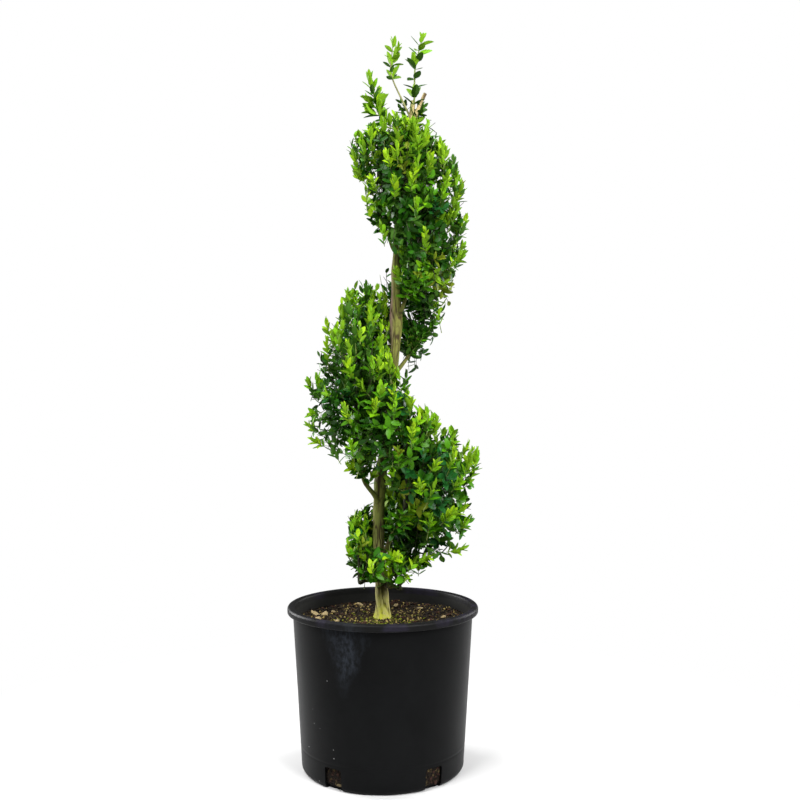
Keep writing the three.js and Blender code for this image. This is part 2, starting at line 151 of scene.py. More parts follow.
LEAF_TINTS = {
    "deep": (0.012, 0.066, 0.0015), "shade": (0.022, 0.108, 0.004), "blue": (0.012, 0.092, 0.014),
    "mid": (0.054, 0.190, 0.003), "fresh": (0.122, 0.290, 0.004), "bright": (0.230, 0.395, 0.007),
    "olive": (0.130, 0.180, 0.008),
}
TWIG_TINTS = {
    "woody": ((0.050, 0.055, 0.018), (0.014, 0.016, 0.006)),
    "green": ((0.21, 0.28, 0.06), (0.12, 0.17, 0.03)),
    "pale": ((0.3, 0.3, 0.12), (0.16, 0.16, 0.06)),
}
GRAIN_TINTS = {"cream": (0.29, 0.22, 0.07), "tan": (0.06, 0.042, 0.012), "umber": (0.013, 0.008, 0.003)}
BARK_TINTS = {
    "dark": (0.009, 0.005, 0.003), "red": (0.036, 0.014, 0.007), "fresh": (0.26, 0.20, 0.10),
    "wet": (0.030, 0.013, 0.009), "chunk": (0.13, 0.10, 0.05),
}
# Each light's name, place, aim and size in metres, and its share of the key's power.
LIGHTS = [
    ("key", (-1.15, -1.45, 2.75), (0.03, 0, 0.7), 1.2, 1.45),
    ("fill", (1.35, -1.55, 1.8), (0.05, 0, 0.5), 1.2, 1.3),
    ("top", (0.1, 0.3, 2.7), (0.03, 0, 0.5), 1.2, 0.5),
    ("left_edge", (-1.3, 0.75, 0.75), (0, 0, 0.4), 0.9, 0.56),
    ("right_edge", (1.3, 0.85, 0.75), (0, 0, 0.4), 0.9, 0.26),
]


# ---- the sizes and colours that a user may change ----

def colour_property(name, description, default):
    return FloatVectorProperty(name=name, description=description, subtype="COLOR", size=3,
                               min=0, max=1, default=default)


def length_property(name, description, default, **limits):
    return FloatProperty(name=name, description=description, subtype="DISTANCE", unit="LENGTH",
                         precision=4, default=default * MM, **limits)


class PotSettings(PropertyGroup):
    sides: IntProperty(name="Sides", description="Faces round the pot", default=160, min=24)
    wall: length_property("Wall", "Thickness of the plastic", 3)
    lip: length_property("Lip", "Height of the rolled lip", 11)
    crease: length_property("Crease", "Depth of the line over the foot", 0.3)
    plastic: colour_property("Plastic", "Colour of the moulded plastic", (0.0028, 0.0030, 0.0032))
    dried_water: colour_property("Dried water", "Colour of the stains", (0.036, 0.043, 0.056))


class SoilSettings(PropertyGroup):
    grains: IntProperty(name="Grains", description="Pumice grains on the soil", default=7600, min=0)
    chips: IntProperty(name="Chips", description="Bark chips on the soil", default=620, min=0)
    moss: IntProperty(name="Moss", description="Cushions of moss", default=520, min=0)
    seed: IntProperty(name="Seed", description="Chooses where things lie", default=5)
    earth: colour_property("Earth", "Colour of the fine mix", (0.008, 0.005, 0.003))


class WoodSettings(PropertyGroup):
    relief: length_property("Relief", "Depth of the bark's fissures", 0.9)
    cork: colour_property("Cork", "Colour of the ridges", (0.158, 0.160, 0.036))
    fissure: colour_property("Fissure", "Colour in the cracks", (0.055, 0.040, 0.016))
    moss: colour_property("Moss", "Colour of the moss at the foot", (0.38, 0.40, 0.03))
    seed: IntProperty(name="Seed", description="Chooses the fissures", default=3)


class FoliageSettings(PropertyGroup):
    spacing: length_property("Twig spacing", "Distance between two twigs' tips", 35)
    leaf: length_property("Leaf", "Length of a grown leaf", 16.5)
    young_leaf: length_property("Young leaf", "Length of a leaf of the year", 16)
    tufts: length_property("Tuft spacing", "Distance between two young shoots on the skin", 22)
    young: FloatProperty(name="Young growth", description="Share of the lit shoots that are young",
                         subtype="FACTOR", default=0.95, min=0, max=1)
    seed: IntProperty(name="Seed", description="Chooses the accidents of growth", default=11)


class StageSettings(PropertyGroup):
    lens: FloatProperty(name="Lens", description="Focal length", subtype="DISTANCE_CAMERA",
                        default=44.73)
    key: FloatProperty(name="Key light", description="Power of the main light", unit="POWER",
                       default=62)
    floor: colour_property("Floor", "Colour of the floor", (0.60, 0.60, 0.60))


# ---- shapes: points as whole arrays ----

def unit(vectors):
    """Each vector over its own length."""
    return vectors / np.maximum(np.linalg.norm(vectors, axis=-1, keepdims=True), 1e-9)


def mixed(low, high, share):
    """low + (high - low) times share."""
    return low + (high - low) * share


def smooth_rows(table, places):
    """A smooth curve through a table's rows, read at places of its first column.

    Between two rows the others follow the cubic with those ends and the slopes of the chords
    between each row's neighbours.
    """
    knots, values = table[:, 0], table[:, 1:]
    slopes = np.empty_like(values)
    slopes[1:-1] = (values[2:] - values[:-2]) / (knots[2:] - knots[:-2])[:, None]
    ends, next_to = [0, -1], [1, -2]
    slopes[ends] = (values[next_to] - values[ends]) / (knots[next_to] - knots[ends])[:, None]
    places = np.asarray(places, float)
    row = np.clip(np.searchsorted(knots, places) - 1, 0, len(knots) - 2)
    span = (knots[row + 1] - knots[row])[..., None]
    t = np.clip((places - knots[row])[..., None] / span, 0, 1)
    return (values[row] * (2 * t**3 - 3 * t**2 + 1) + slopes[row] * span * (t**3 - 2 * t**2 + t)
            + values[row + 1] * (3 * t**2 - 2 * t**3) + slopes[row + 1] * span * (t**3 - t**2))


def wavy(rows, columns, size, seed):
    """Smooth noise from 0 to 1 on a grid, in cells of a given size; the columns close on themselves.

    Seeded random heights stand on a coarse lattice, and 3t^2 - 2t^3 leads from each to the next.
    """
    down, across = size
    heights = np.random.default_rng(seed).random((int(rows // down) + 2, max(int(columns // across), 3)))
    y, x = np.arange(rows) / down, np.arange(columns) / columns * heights.shape[1]
    row, column = y.astype(int), x.astype(int)
    ease = [t * t * (3 - 2 * t) for t in (y - row, x - column)]
    v, u = ease[0][:, None], ease[1][None]
    after = (column + 1) % heights.shape[1]
    low = mixed(heights[row][:, column], heights[row][:, after], u)
    return mixed(low, mixed(heights[row + 1][:, column], heights[row + 1][:, after], u), v)


def bezier(start, middle, end, steps):
    """Points (1-t)^2 start + 2t(1-t) middle + t^2 end, along many curves at once."""
    t = np.linspace(0, 1, steps)[:, None]
    start, middle, end = (np.asarray(point)[..., None, :] for point in (start, middle, end))
    return (1 - t) ** 2 * start + 2 * t * (1 - t) * middle + t**2 * end


def tubes(paths, radii, sides):
    """Closed tubes along many paths at once, and their faces.

    A point is path + radius (cos a u + sin a v), where a goes evenly round and u and v are square
    to the path; both ends close on the path itself. Radii are by path and step, or also by side.
    """
    count, steps, _ = paths.shape
    along = unit(np.gradient(paths, axis=1))
    chord = np.abs(paths[:, -1] - paths[:, 0])
    aside = np.eye(3)[chord.argmin(axis=1)][:, None]
    u = unit(np.cross(along, aside))
    v = np.cross(along, u)
    a = 2 * np.pi * np.arange(sides)[:, None] / sides
    if radii.ndim == 2:
        radii = radii[..., None]
    out = np.cos(a) * u[:, :, None] + np.sin(a) * v[:, :, None]
    rings = paths[:, :, None] + radii[..., None] * out
    points = np.concatenate([rings.reshape(count, -1, 3), paths[:, :1], paths[:, -1:]], axis=1)
    return points.reshape(-1, 3), copied(ring_faces(steps, sides), count, points.shape[1])


def copied(parts, count, size):
    """A shape's faces repeated for many shapes of one size, each on its own run of points."""
    first = (np.arange(count) * size)[:, None, None]
    return [(first + part).reshape(-1, part.shape[1]) for part in parts]


def ring_faces(steps, sides):
    """The faces between rings of points, and those that close both ends on two last points."""
    ring = np.arange(sides)
    after = np.roll(ring, -1)
    row = (np.arange(steps - 1) * sides)[:, None]
    walls = np.stack([row + ring, row + after, row + sides + after, row + sides + ring], axis=-1)
    last, foot = (steps - 1) * sides, steps * sides
    ends = np.concatenate([
        np.stack([np.full(sides, foot), after, ring], axis=-1),
        np.stack([np.full(sides, foot + 1), last + ring, last + after], axis=-1),
    ])
    return walls.reshape(-1, 4), ends


def revolved(profile, sides):
    """A profile of radius and height turned round the Z axis; its first and last rows lie on it."""
    a = 2 * np.pi * np.arange(sides) / sides
    radius, height = profile[1:-1, 0, None], profile[1:-1, 1, None]
    rings = np.stack([radius * np.cos(a), radius * np.sin(a), height + 0 * a], axis=-1)
    poles = [[0, 0, profile[0, 1]], [0, 0, profile[-1, 1]]]
    return np.concatenate([rings.reshape(-1, 3), poles]), list(ring_faces(len(profile) - 2, sides))


def arc(radius, height, size, start, end, steps):
    """Points on a circle of a given size round a profile's point, between two angles in degrees."""
    a = np.radians(np.linspace(start, end, steps))
    return np.stack([radius + size * np.cos(a), height + size * np.sin(a)], axis=-1)


LUMP = np.array([[0, 1, 1.618], [0, -1, 1.618], [0, 1, -1.618], [0, -1, -1.618],
                 [1, 1.618, 0], [-1, 1.618, 0], [1, -1.618, 0], [-1, -1.618, 0],
                 [1.618, 0, 1], [1.618, 0, -1], [-1.618, 0, 1], [-1.618, 0, -1]]) / 1.902
LUMP_FACES = np.array([[0, 1, 8], [0, 8, 4], [0, 4, 5], [0, 5, 10], [0, 10, 1], [3, 2, 9], [3, 9, 6],
                       [3, 6, 7], [3, 7, 11], [3, 11, 2], [1, 6, 8], [8, 6, 9], [8, 9, 4], [4, 9, 2],
                       [4, 2, 5], [5, 2, 11], [5, 11, 10], [10, 11, 7], [10, 7, 1], [1, 7, 6]])


def lumps(places, sizes, flatness, rng, roughness=0.25):
    """Twenty-faced lumps, each with its own sizes, its points pushed in and out, and turned."""
    count = len(places)
    push = 1 + roughness * (2 * rng.random((count, len(LUMP), 1)) - 1)
    shape = LUMP * push * sizes[:, None] / 2
    turn = rng.random(count) * 2 * np.pi
    tilt = (rng.random(count) - 0.5) * (1 - flatness) * np.pi
    c, s, ct, st = (part[:, None] for part in (np.cos(turn), np.sin(turn), np.cos(tilt), np.sin(tilt)))
    x, y, z = np.moveaxis(shape, -1, 0)
    x, z = ct * x + st * z, ct * z - st * x
    x, y = c * x - s * y, s * x + c * y
    points = np.stack([x, y, z], axis=-1) + places[:, None]
    return points.reshape(-1, 3), copied([LUMP_FACES], count, len(LUMP))


def joined(shapes):
    """Several sets of points and faces as one."""
    points, faces, first = [], [], 0
    for shape, parts in shapes:
        points.append(shape)
        faces += [part + first for part in parts]
        first += len(shape)
    return np.concatenate(points), faces


def place_piece(name, points, faces, materials, slot, nodes=(), kinds=None, values=None, crisp=40):
    """A mesh object from points in millimetres and faces as arrays of corner numbers."""
    mesh = bpy.data.meshes.new(name)
    corners = np.concatenate([part.ravel() for part in faces]).astype(np.int32)
    sizes = np.concatenate([np.full(len(part), part.shape[1]) for part in faces])
    starts = np.concatenate([[0], np.cumsum(sizes)[:-1]]).astype(np.int32)
    mesh.vertices.add(len(points))
    mesh.vertices.foreach_set("co", (points * MM).astype(np.float32).ravel())
    mesh.loops.add(len(corners))
    mesh.loops.foreach_set("vertex_index", corners)
    mesh.polygons.add(len(sizes))
    mesh.polygons.foreach_set("loop_start", starts)
    if kinds is not None:
        mesh.polygons.foreach_set("material_index", kinds.astype(np.int32))
    mesh.update(calc_edges=True)
    mesh.validate()
    for key, value in (values or {}).items():
        layer = mesh.attributes.new(key, "FLOAT", "POINT")
        layer.data.foreach_set("value", value.astype(np.float32).ravel())
    mesh.shade_smooth()
    mesh.set_sharp_from_angle(angle=math.radians(crisp))
    for material in materials:
        mesh.materials.append(material)
    piece = bpy.data.objects.new(name, mesh)
    bpy.context.scene.collection.objects.link(piece)
    if slot is None:
        return piece
    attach(piece, BODY)
    if nodes:
        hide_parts(*nodes)
    return piece


# ---- finishes ----


# ---- finishes ----

def node(tree, kind, inputs=None, **settings):
    """A shader node with its settings, its inputs set to values or linked to other sockets."""
    made = tree.nodes.new("ShaderNode" + kind)
    for key, value in settings.items():
        setattr(made, key, value)
    for key, value in (inputs or {}).items():
        socket = made.inputs[key]
        if isinstance(value, bpy.types.NodeSocket):
            tree.links.new(value, socket)
        elif socket.type == "RGBA":
            socket.default_value = (*tuple(value)[:3], 1)
        else:
            socket.default_value = value
    return made


class Finish:
    """A material in the making: its nodes, and its base colour as blended so far."""

    def __init__(self, name, roughness, specular, tint=(1, 1, 1)):
        self.material = bpy.data.materials.new(name)
        self.material.use_nodes = True
        self.tree = self.material.node_tree
        self.shader = next(n for n in self.tree.nodes if n.type == "BSDF_PRINCIPLED")
        self.shader.inputs["Roughness"].default_value = roughness
        self.shader.inputs["Specular IOR Level"].default_value = specular
        self.place = self.node("TexCoord").outputs["Object"]
        self.tint = tint

    def node(self, kind, inputs=None, **settings):
        return node(self.tree, kind, inputs, **settings)

    def noise(self, scale, detail, rough=0.55, stretch=(1, 1, 1)):
        """Noise on the object's own metres, drawn out along an axis by a small stretch there."""
        mapped = self.node("Mapping", {"Vector": self.place, "Scale": stretch}).outputs["Vector"]
        return self.node("TexNoise", {"Vector": mapped, "Scale": scale, "Detail": detail,
                                      "Roughness": rough}).outputs["Fac"]

    def field(self, name):
        """A value that the mesh holds at its points."""
        return self.node("Attribute", attribute_name=name).outputs["Fac"]

    def ramp(self, factor, *stops):
        """A colour ramp through stops of a place and a colour or a grey."""
        made = self.node("ValToRGB", {"Fac": factor})
        elements = made.color_ramp.elements
        while len(elements) < len(stops):
            elements.new(0.5)
        for element, (place, colour) in zip(elements, stops):
            element.position = place
            element.color = (*(colour if isinstance(colour, tuple) else (colour,) * 3), 1)
        return made.outputs["Color"]

    def maths(self, operation, *values):
        return self.node("Math", dict(enumerate(values)), operation=operation).outputs[0]

    def times(self, first, second):
        return self.maths("MULTIPLY", first, second)

    def plus(self, first, second):
        return self.maths("ADD", first, second)

    def between(self, value, start, end, low=0.0, high=1.0):
        """A number from low to high by where the value lies from start to end."""
        return self.node("MapRange", {"Value": value, "From Min": start, "From Max": end,
                                      "To Min": low, "To Max": high}).outputs[0]

    def mix(self, share, low, high):
        """One colour over another by a share."""
        return self.node("Mix", {0: share, 6: low, 7: high}, data_type="RGBA").outputs[2]

    def blend(self, share, colour):
        """Lays a colour over the base colour by a share."""
        self.tint = self.mix(share, self.tint, colour)

    def done(self, height, distance, strength):
        """The material, with its base colour linked and small bumps by a height."""
        self.tree.links.new(self.tint, self.shader.inputs["Base Color"])
        bump = self.node("Bump", {"Height": height, "Distance": distance, "Strength": strength})
        self.tree.links.new(bump.outputs["Normal"], self.shader.inputs["Normal"])
        return self.material


def scaled(colour, *factors):
    """A colour times one factor, or times one for each of its parts, up to white."""
    factors = factors if len(factors) == 3 else factors * 3
    return tuple(min(1, part * factor) for part, factor in zip(colour, factors))


def leaf_finish(name, colour, roughness, specular):
    """A leaf's blade: a plain base colour, with faint mottling a few millimetres across."""
    coat = Finish(name, roughness, specular)
    fine = coat.noise(420, 2)
    light = scaled(colour, 1.26)
    coat.tint = coat.mix(fine, scaled(colour, 0.74), light)
    coat.blend(coat.times(coat.noise(90, 1), 0.5), light)
    return coat.done(fine, 0.0004, 0.35)


def wood_finish(name, ridge, groove, moss=None, scale=1.0):
    """Bark: ridges and cracks by the relief's own depth, grain drawn out along the limb.

    The trunk's bark, which has a moss colour, is paler at the foot, partly its own colour and partly
    painted light against the shade there, and flushed by its own fields.
    """
    coat = Finish(name, 0.85, 0.2, ridge)
    fibre = coat.noise(300 * scale, 5, 0.65, (1, 1, 0.16))
    coat.blend(coat.ramp(fibre, (0.34, 0.0), (0.62, 1.0)), scaled(ridge, 1.5))
    patch = coat.noise(60, 4, 0.6, (1, 1, 0.5))
    coat.blend(coat.ramp(patch, (0.42, 0.0), (0.6, 0.7)), scaled(ridge, 0.55))
    green = coat.noise(26, 3, 0.6, (1, 1, 0.4))
    coat.blend(coat.ramp(green, (0.42, 0.0), (0.62, 0.8)), scaled(ridge, 0.62, 0.90, 0.45))
    if moss is not None:
        # Pale bark at the foot: partly its own colour, partly painted light that lifts the shade there.
        coat.blend(coat.field("foot"), coat.mix(fibre, (0.40, 0.34, 0.125), (0.66, 0.60, 0.29)))
        coat.blend(coat.field("flush"), coat.mix(fibre, (0.12, 0.065, 0.05), (0.42, 0.29, 0.23)))
    coat.blend(coat.ramp(coat.field("depth"), (0.25, 1.0), (0.75, 0.0)), groove)
    if moss is not None:
        mottle = coat.ramp(coat.noise(150, 4), (0.36, 0.2), (0.56, 1.0))
        coat.blend(coat.times(coat.field("moss"), mottle), moss)
    return coat.done(fibre, 0.0012, 0.9)


def twig_finish(name, light, dark):
    """A thin stem's skin, mottled along it."""
    coat = Finish(name, 0.7, 0.3)
    mottle = coat.noise(240, 4, 0.6, (1, 1, 0.5))
    coat.tint = coat.mix(coat.ramp(mottle, (0.35, 0.0), (0.65, 1.0)), dark, light)
    return coat.done(mottle, 0.0005, 0.6)


def plastic_finish(settings):
    """Black polyethylene: satin, with dried water, fine scuffs, a bruised lip and specks, painted light on
    the wall's inside and a painted highlight on the lip.
    """
    coat = Finish("black_plastic", 0.4, 0.062, settings.plastic)
    x, y, z = coat.node("SeparateXYZ", {"Vector": coat.place}).outputs
    blots = coat.noise(20, 4, 0.6, (1, 1, 0.6))
    coat.blend(coat.ramp(blots, (0.35, 0.0), (0.7, 1.0)), scaled(settings.plastic, 1.5))
    # Dried water: a patch under the lip on the left of the front, that narrows as it runs down.
    off = coat.maths("ABSOLUTE", coat.plus(x, 0.053))
    spread = coat.maths("DIVIDE", off, coat.between(z, 0.125, 0.235, 0.006, 0.058))
    ragged = coat.plus(spread, coat.times(coat.noise(52, 6, 0.65, (1, 1, 0.45)), 1.6))
    patch = coat.ramp(coat.times(ragged, 0.5), (0.42, 1.0), (0.72, 0.0))
    stain = coat.times(patch, coat.ramp(z, (0.14, 0.0), (0.19, 1.0)))
    stain = coat.times(stain, coat.between(y, 0.0, -0.03))
    flecks = coat.noise(170, 6, 0.7, (1, 1, 0.6))
    stain = coat.times(stain, coat.ramp(flecks, (0.40, 0.15), (0.60, 1.0)))
    coat.blend(coat.times(stain, 0.52), settings.dried_water)
    # Painted light on the wall's inside above the soil, which faces the axis: paler, as the light that
    # falls in through the opening makes it look; and a painted highlight on the lip, with its bruises.
    normal = coat.node("NewGeometry").outputs["Normal"]
    facing = coat.node("VectorMath", {0: coat.place, 1: normal}, operation="DOT_PRODUCT")
    inside = coat.maths("LESS_THAN", facing.outputs["Value"], -0.05)
    coat.blend(coat.times(inside, coat.ramp(z, (0.19, 0.0), (0.2, 1.0))), (0.021, 0.021, 0.020))
    # The whole lip is made paler: a painted highlight.
    lip = coat.between(z, 0.2435, 0.2455)
    coat.blend(coat.times(lip, 0.6), (0.010, 0.010, 0.010))
    coat.blend(coat.times(lip, coat.ramp(blots, (0.5, 0.0), (0.62, 0.5))), (0.026, 0.022, 0.040))
    # Pale specks, mostly low on the left.
    dots = coat.node("TexVoronoi", {"Vector": coat.place, "Scale": 95.0, "Randomness": 1.0})
    speck = coat.ramp(dots.outputs["Distance"], (0.05, 1.0), (0.08, 0.0))
    low_left = coat.plus(coat.times(x, -1.9), coat.times(z, -1.2))
    some = coat.ramp(coat.plus(low_left, coat.noise(30, 1)), (0.62, 0.0), (0.68, 1.0))
    coat.blend(coat.times(speck, some), (0.42, 0.42, 0.42))
    rough = coat.plus(coat.plus(coat.times(blots, 0.16), 0.32), coat.times(stain, 0.16))
    coat.tree.links.new(rough, coat.shader.inputs["Roughness"])
    return coat.done(coat.plus(coat.noise(900, 3), coat.times(blots, 3.0)), 0.0003, 0.25)


def earth_finish(settings):
    """The fine bark mix: dark crumbs in browns, rough all over."""
    coat = Finish("bark_mix", 0.95, 0.2)
    crumbs = coat.node("TexVoronoi", {"Vector": coat.place, "Scale": 330.0})
    cell = coat.node("SeparateXYZ", {"Vector": crumbs.outputs["Color"]}).outputs[0]
    coat.tint = coat.ramp(cell, (0.0, (0.005, 0.003, 0.002)), (0.35, tuple(settings.earth)),
                          (0.6, (0.012, 0.006, 0.003)), (0.8, (0.007, 0.005, 0.002)),
                          (0.95, (0.07, 0.05, 0.02)))
    return coat.done(crumbs.outputs["Distance"], 0.002, 1.0)


def grain_finish(name, tint):
    """Pumice, sand or bark: a base colour mottled a millimetre across."""
    coat = Finish(name, 0.9, 0.2)
    mottle = coat.noise(700, 4)
    coat.tint = coat.mix(mottle, scaled(tint, 0.6), scaled(tint, 1.4))
    return coat.done(mottle, 0.0006, 0.8)


def moss_finish():
    """Moss: yellow-green over dark green, fuzzy all over."""
    coat = Finish("moss", 1.0, 0.1)
    fuzz = coat.noise(1300, 3)
    coat.tint = coat.mix(fuzz, (0.030, 0.045, 0.004), (0.20, 0.22, 0.015))
    return coat.done(fuzz, 0.0012, 1.0)


def floor_finish(colour):
    """White board: matt near the pot, and glowing evenly white farther out."""
    coat = Finish("white_floor", 0.9, 0.1)
    coat.shader.inputs["Base Color"].default_value = (*colour, 1)
    far = coat.node("VectorMath", {0: coat.place}, operation="LENGTH").outputs["Value"]
    glow = coat.node("MapRange", {"Value": far, "From Min": 0.22, "From Max": 0.85},
                     interpolation_type="SMOOTHSTEP").outputs[0]
    white = coat.node("Emission", {"Color": (1, 1, 1), "Strength": 1.0}).outputs[0]
    both = coat.node("MixShader", {0: glow, 1: coat.shader.outputs[0], 2: white}).outputs[0]
    end = next(n for n in coat.tree.nodes if n.type == "OUTPUT_MATERIAL")
    coat.tree.links.new(both, end.inputs["Surface"])
    return coat.material


# ---- the trunk and the strand ----

def trunk_centre(height):
    """The trunk's axis at a height: its leans there, and the height itself."""
    height = np.asarray(height, float)
    return np.concatenate([smooth_rows(TRUNK_AXIS, height), height[..., None]], axis=-1)


def trunk_radius(height):
    """A power-law taper from foot to tip, plus a root flare that dies away with height."""
    share = np.clip(height / TRUNK_TOP, 0, 1)
    flare = TRUNK["flare"] * np.exp(-np.maximum(height, 0) / TRUNK["flare_height"])
    return mixed(TRUNK["foot"], TRUNK["tip"], share ** TRUNK["taper"]) + flare


def outward(turn):
    """The way out from the trunk at a turn: the front at 0, the left at a quarter."""
    angle = 2 * np.pi * np.asarray(turn, float)
    return np.stack([-np.sin(angle), -np.cos(angle), 0 * angle], axis=-1)


def section(turn, clipped=True):
    """The strand's section at a turn: height, reach up and down, middle radius, half width and lean."""
    height, half_height, reach = np.moveaxis(smooth_rows(STRAND, turn), -1, 0)
    up = down = half_height
    lean = 0 * height
    if clipped:
        share_up, share_down, share_wide, _, lean = np.moveaxis(smooth_rows(CLIPPED, turn), -1, 0)
        up, down, reach = half_height * share_up, half_height * share_down, reach * share_wide
    inner = trunk_radius(height) + TRUNK_CLEARANCE
    return height, up, down, (reach + inner) / 2, (reach - inner) / 2, lean


def strand_point(turn, angle, share, clipped=True):
    """A place in the strand: angle 0 is outward and a right angle up; share 1 is the skin.

    Its height is the middle + share reach sin angle, and its radius the middle + share half width
    (cos angle - lean sin angle).
    """
    height, up, down, radius, half_width, lean = section(turn, clipped)
    rise = np.sin(angle)
    h = height + share * np.where(rise > 0, up, down) * rise
    r = radius + share * half_width * (np.cos(angle) - lean * rise)
    return trunk_centre(h) + outward(turn) * r[..., None]


def strand_share(points, near):
    """How far out each point lies in the strand's section there, squared, and its clear radius."""
    out = points - trunk_centre(points[..., 2])
    radius = np.hypot(out[..., 0], out[..., 1])
    around = np.arctan2(-out[..., 0], -out[..., 1]) / (2 * np.pi)
    turn = around + np.round(near - around)
    height, up, down, middle, half_width, lean = section(turn)
    rise = points[..., 2] - height
    high = rise / np.where(rise > 0, up, down)
    share = ((radius - middle) / half_width + lean * high) ** 2 + high**2
    inside = (turn > STRAND[0, 0] - 0.02) & (turn < STRAND[-1, 0] + 0.02)
    clear = radius > trunk_radius(points[..., 2]) + TRUNK_CLEARANCE
    return share, inside & clear


def skin_area(first, last):
    """Roughly the strand's skin between two turns, in square millimetres."""
    _, up, down, radius, half_width, _ = (value[0] for value in section(np.array([(first + last) / 2])))
    return 2 * np.pi * (last - first) * radius * math.pi * ((up + down) / 2 + half_width)


def bough_curves():
    """Each bough's three guiding points: on the trunk, bent outward, and where it enters its mass."""
    edges = np.linspace(STRAND[0, 0], STRAND[-1, 0], MASSES + 1)
    first, last = edges[:-1], edges[1:]
    turn = mixed(first, last, BOUGH["turn_share"])
    angle = np.full(MASSES, math.radians(BOUGH["entry"]))
    entry = strand_point(turn, angle, BOUGH["entry_share"], clipped=False)
    run = np.linalg.norm(entry - trunk_centre(entry[:, 2]), axis=1)
    low = np.minimum(BOUGH["lowest"], entry[:, 2])
    foot = trunk_centre(np.maximum(entry[:, 2] - BOUGH["rise"] * run, low))
    bend = (foot + entry) / 2 + outward(turn) * (run * BOUGH["bend"])[:, None]
    root = np.maximum(BOUGH["least"], BOUGH["thickness"] * trunk_radius(foot[:, 2]))
    return foot, bend, entry, root, first, last


def mass_stems(steps):
    """The stems that carry the masses on: smooth curves from the boughs' tips to near their tops."""
    _, bend, entry, _, first, last = bough_curves()
    middle = (first + last) / 2
    zero = np.zeros(MASSES)
    stops = np.stack([
        entry, entry + unit(entry - bend) * STEM["lead"], strand_point(middle, zero, zero),
        strand_point(mixed(first, last, STEM["end_share"]), zero + np.pi / 2, zero + STEM["end_up"]),
    ], axis=1)
    t = np.linspace(0, 3, steps)
    return np.stack([smooth_rows(np.column_stack([np.arange(4.0), stop]), t) for stop in stops])


# ---- the foliage's growth ----

LEAF_STATIONS = np.array([0.1, 0.34, 0.62, 0.87])
LEAF_WIDTHS = np.array([0.5, 0.97, 0.92, 0.5])


# ---- the foliage's growth ----

KINDS = ("deep", "shade", "blue", "mid", "fresh", "bright", "olive")
DEEP, SHADE, BLUE, MID, FRESH, BRIGHT, OLIVE = range(len(KINDS))
LEAF_STATIONS = np.array([0.1, 0.34, 0.62, 0.87])
LEAF_WIDTHS = np.array([0.5, 0.97, 0.92, 0.5])
# Each pair of a shoot's leaves from the tip down: its size, and how wide old and young ones open.
PAIR_SIZES = np.array([0.72, 0.94, 1.04, 1.04, 1.0, 0.95])
OLD_SPREAD = np.array([30, 50, 60, 66, 70, 74])
YOUNG_SPREAD = np.array([12, 24, 33, 40, 46, 50])
YOUNG_SPACING, OLD_SPACING = 4.9, 6.0  # between the pairs
YOUNG_WIDTH, OLD_WIDTH, SPRIG_WIDTH = 0.45, 0.49, 0.46  # a leaf's width over its length
SHADED_PAIR = 4  # a young shoot's pairs from this one on have had time to darken
SQUARE_TO = (0.31, 0.2, 0.93)  # a way that few twigs follow, to count angles round them from

# Ranges that growth draws from: lengths in millimetres, leans in degrees, lifts as shares.
SKIN_TUFT = dict(depth=(0.94, 1.06), rise=(0.55, 1.5), out=0.8, waver=0.22, reach=(20, 40),
                 stray=0.07, stray_sunk=0.45, sunk=0.85, lift=0.25)
SIDE_SHOOT = dict(most=5, first=0.93, step=0.155, waver=0.07, least=14, each=15, lean=(38, 62),
                  rise=0.28, reach=(15, 27), lift=0.3)
END_TUFT = dict(reach=(18, 34), inside=0.72, young_lift=(0.5, 1.2), old_lift=0.25, young=1.15, old=0.8)
SPRIG_SIDE = dict(leaf_lean=(48, 76), lean=(26, 50), reach=(10, 19), lift=0.4, large=1.3)
BOUGH_SHOOT = dict(each=14, place=(0.45, 0.97), waver=0.03, lean=(40, 70), rise=0.4, reach=(16, 40),
                   shortest_bough=24, clear=9, lowest_tip=74, young=0.15, lift=0.3)
# How an old spray's tint is chosen from deep, shade, blue and mid, and a young one's from mid,
# fresh, bright and olive; the lower turns stand in the shade, and their old sprays draw the paler
# tints more often: painted light that lifts their shade.
LOW_TURN = 0.95
OLD_TINTS, LIFTED_LOW_TINTS = (0.36, 0.26, 0.12, 0.26), (0.06, 0.24, 0.20, 0.50)
YOUNG_TINTS = (0.12, 0.42, 0.44, 0.02)
# Where the strand is thin: behind the trunk and at its very end, as turn, spread and share missing.
THIN_PLACES = ((1.47, 0.12, 0.5), (2.9, 0.16, 0.8))


def leaf_shapes(roots, along, face, lengths, widths, cups, curls):
    """Closed leaves: a folded, curled blade between two outlines that meet at root and tip.

    At t along its length the blade is as wide as its outline there, its edges stand cup times the
    half width over the rib, and all of it bends back by curl times t squared.
    """
    count, stations = len(roots), len(LEAF_STATIONS)
    side = unit(np.cross(along, face))
    up = np.cross(side, along)
    t = LEAF_STATIONS[None, :]
    half = LEAF_WIDTHS[None, :] * widths[:, None] / 2
    bend = -curls[:, None] * lengths[:, None] * t**2
    rib = roots[:, None] + along[:, None] * (t * lengths[:, None])[..., None] + up[:, None] * bend[..., None]
    lift = up[:, None] * (half * cups[:, None])[..., None]
    across = side[:, None] * half[..., None]
    thick = up[:, None] * (0.22 + 0.012 * widths[:, None, None])
    rings = np.stack([rib + thick, rib + across + lift, rib - thick, rib - across + lift], axis=2)
    tip = roots + along * lengths[:, None] - up * (curls * lengths)[:, None]
    points = np.concatenate([rings.reshape(count, -1, 3), roots[:, None], tip[:, None]], axis=1)
    walls, ends = ring_faces(stations, 4)
    front_or_back = [np.tile([0, 1, 1, 0], count * (stations - 1)), np.tile([0, 1, 1, 0], count * 2)]
    return points.reshape(-1, 3), copied([walls, ends], count, points.shape[1]), np.concatenate(front_or_back)


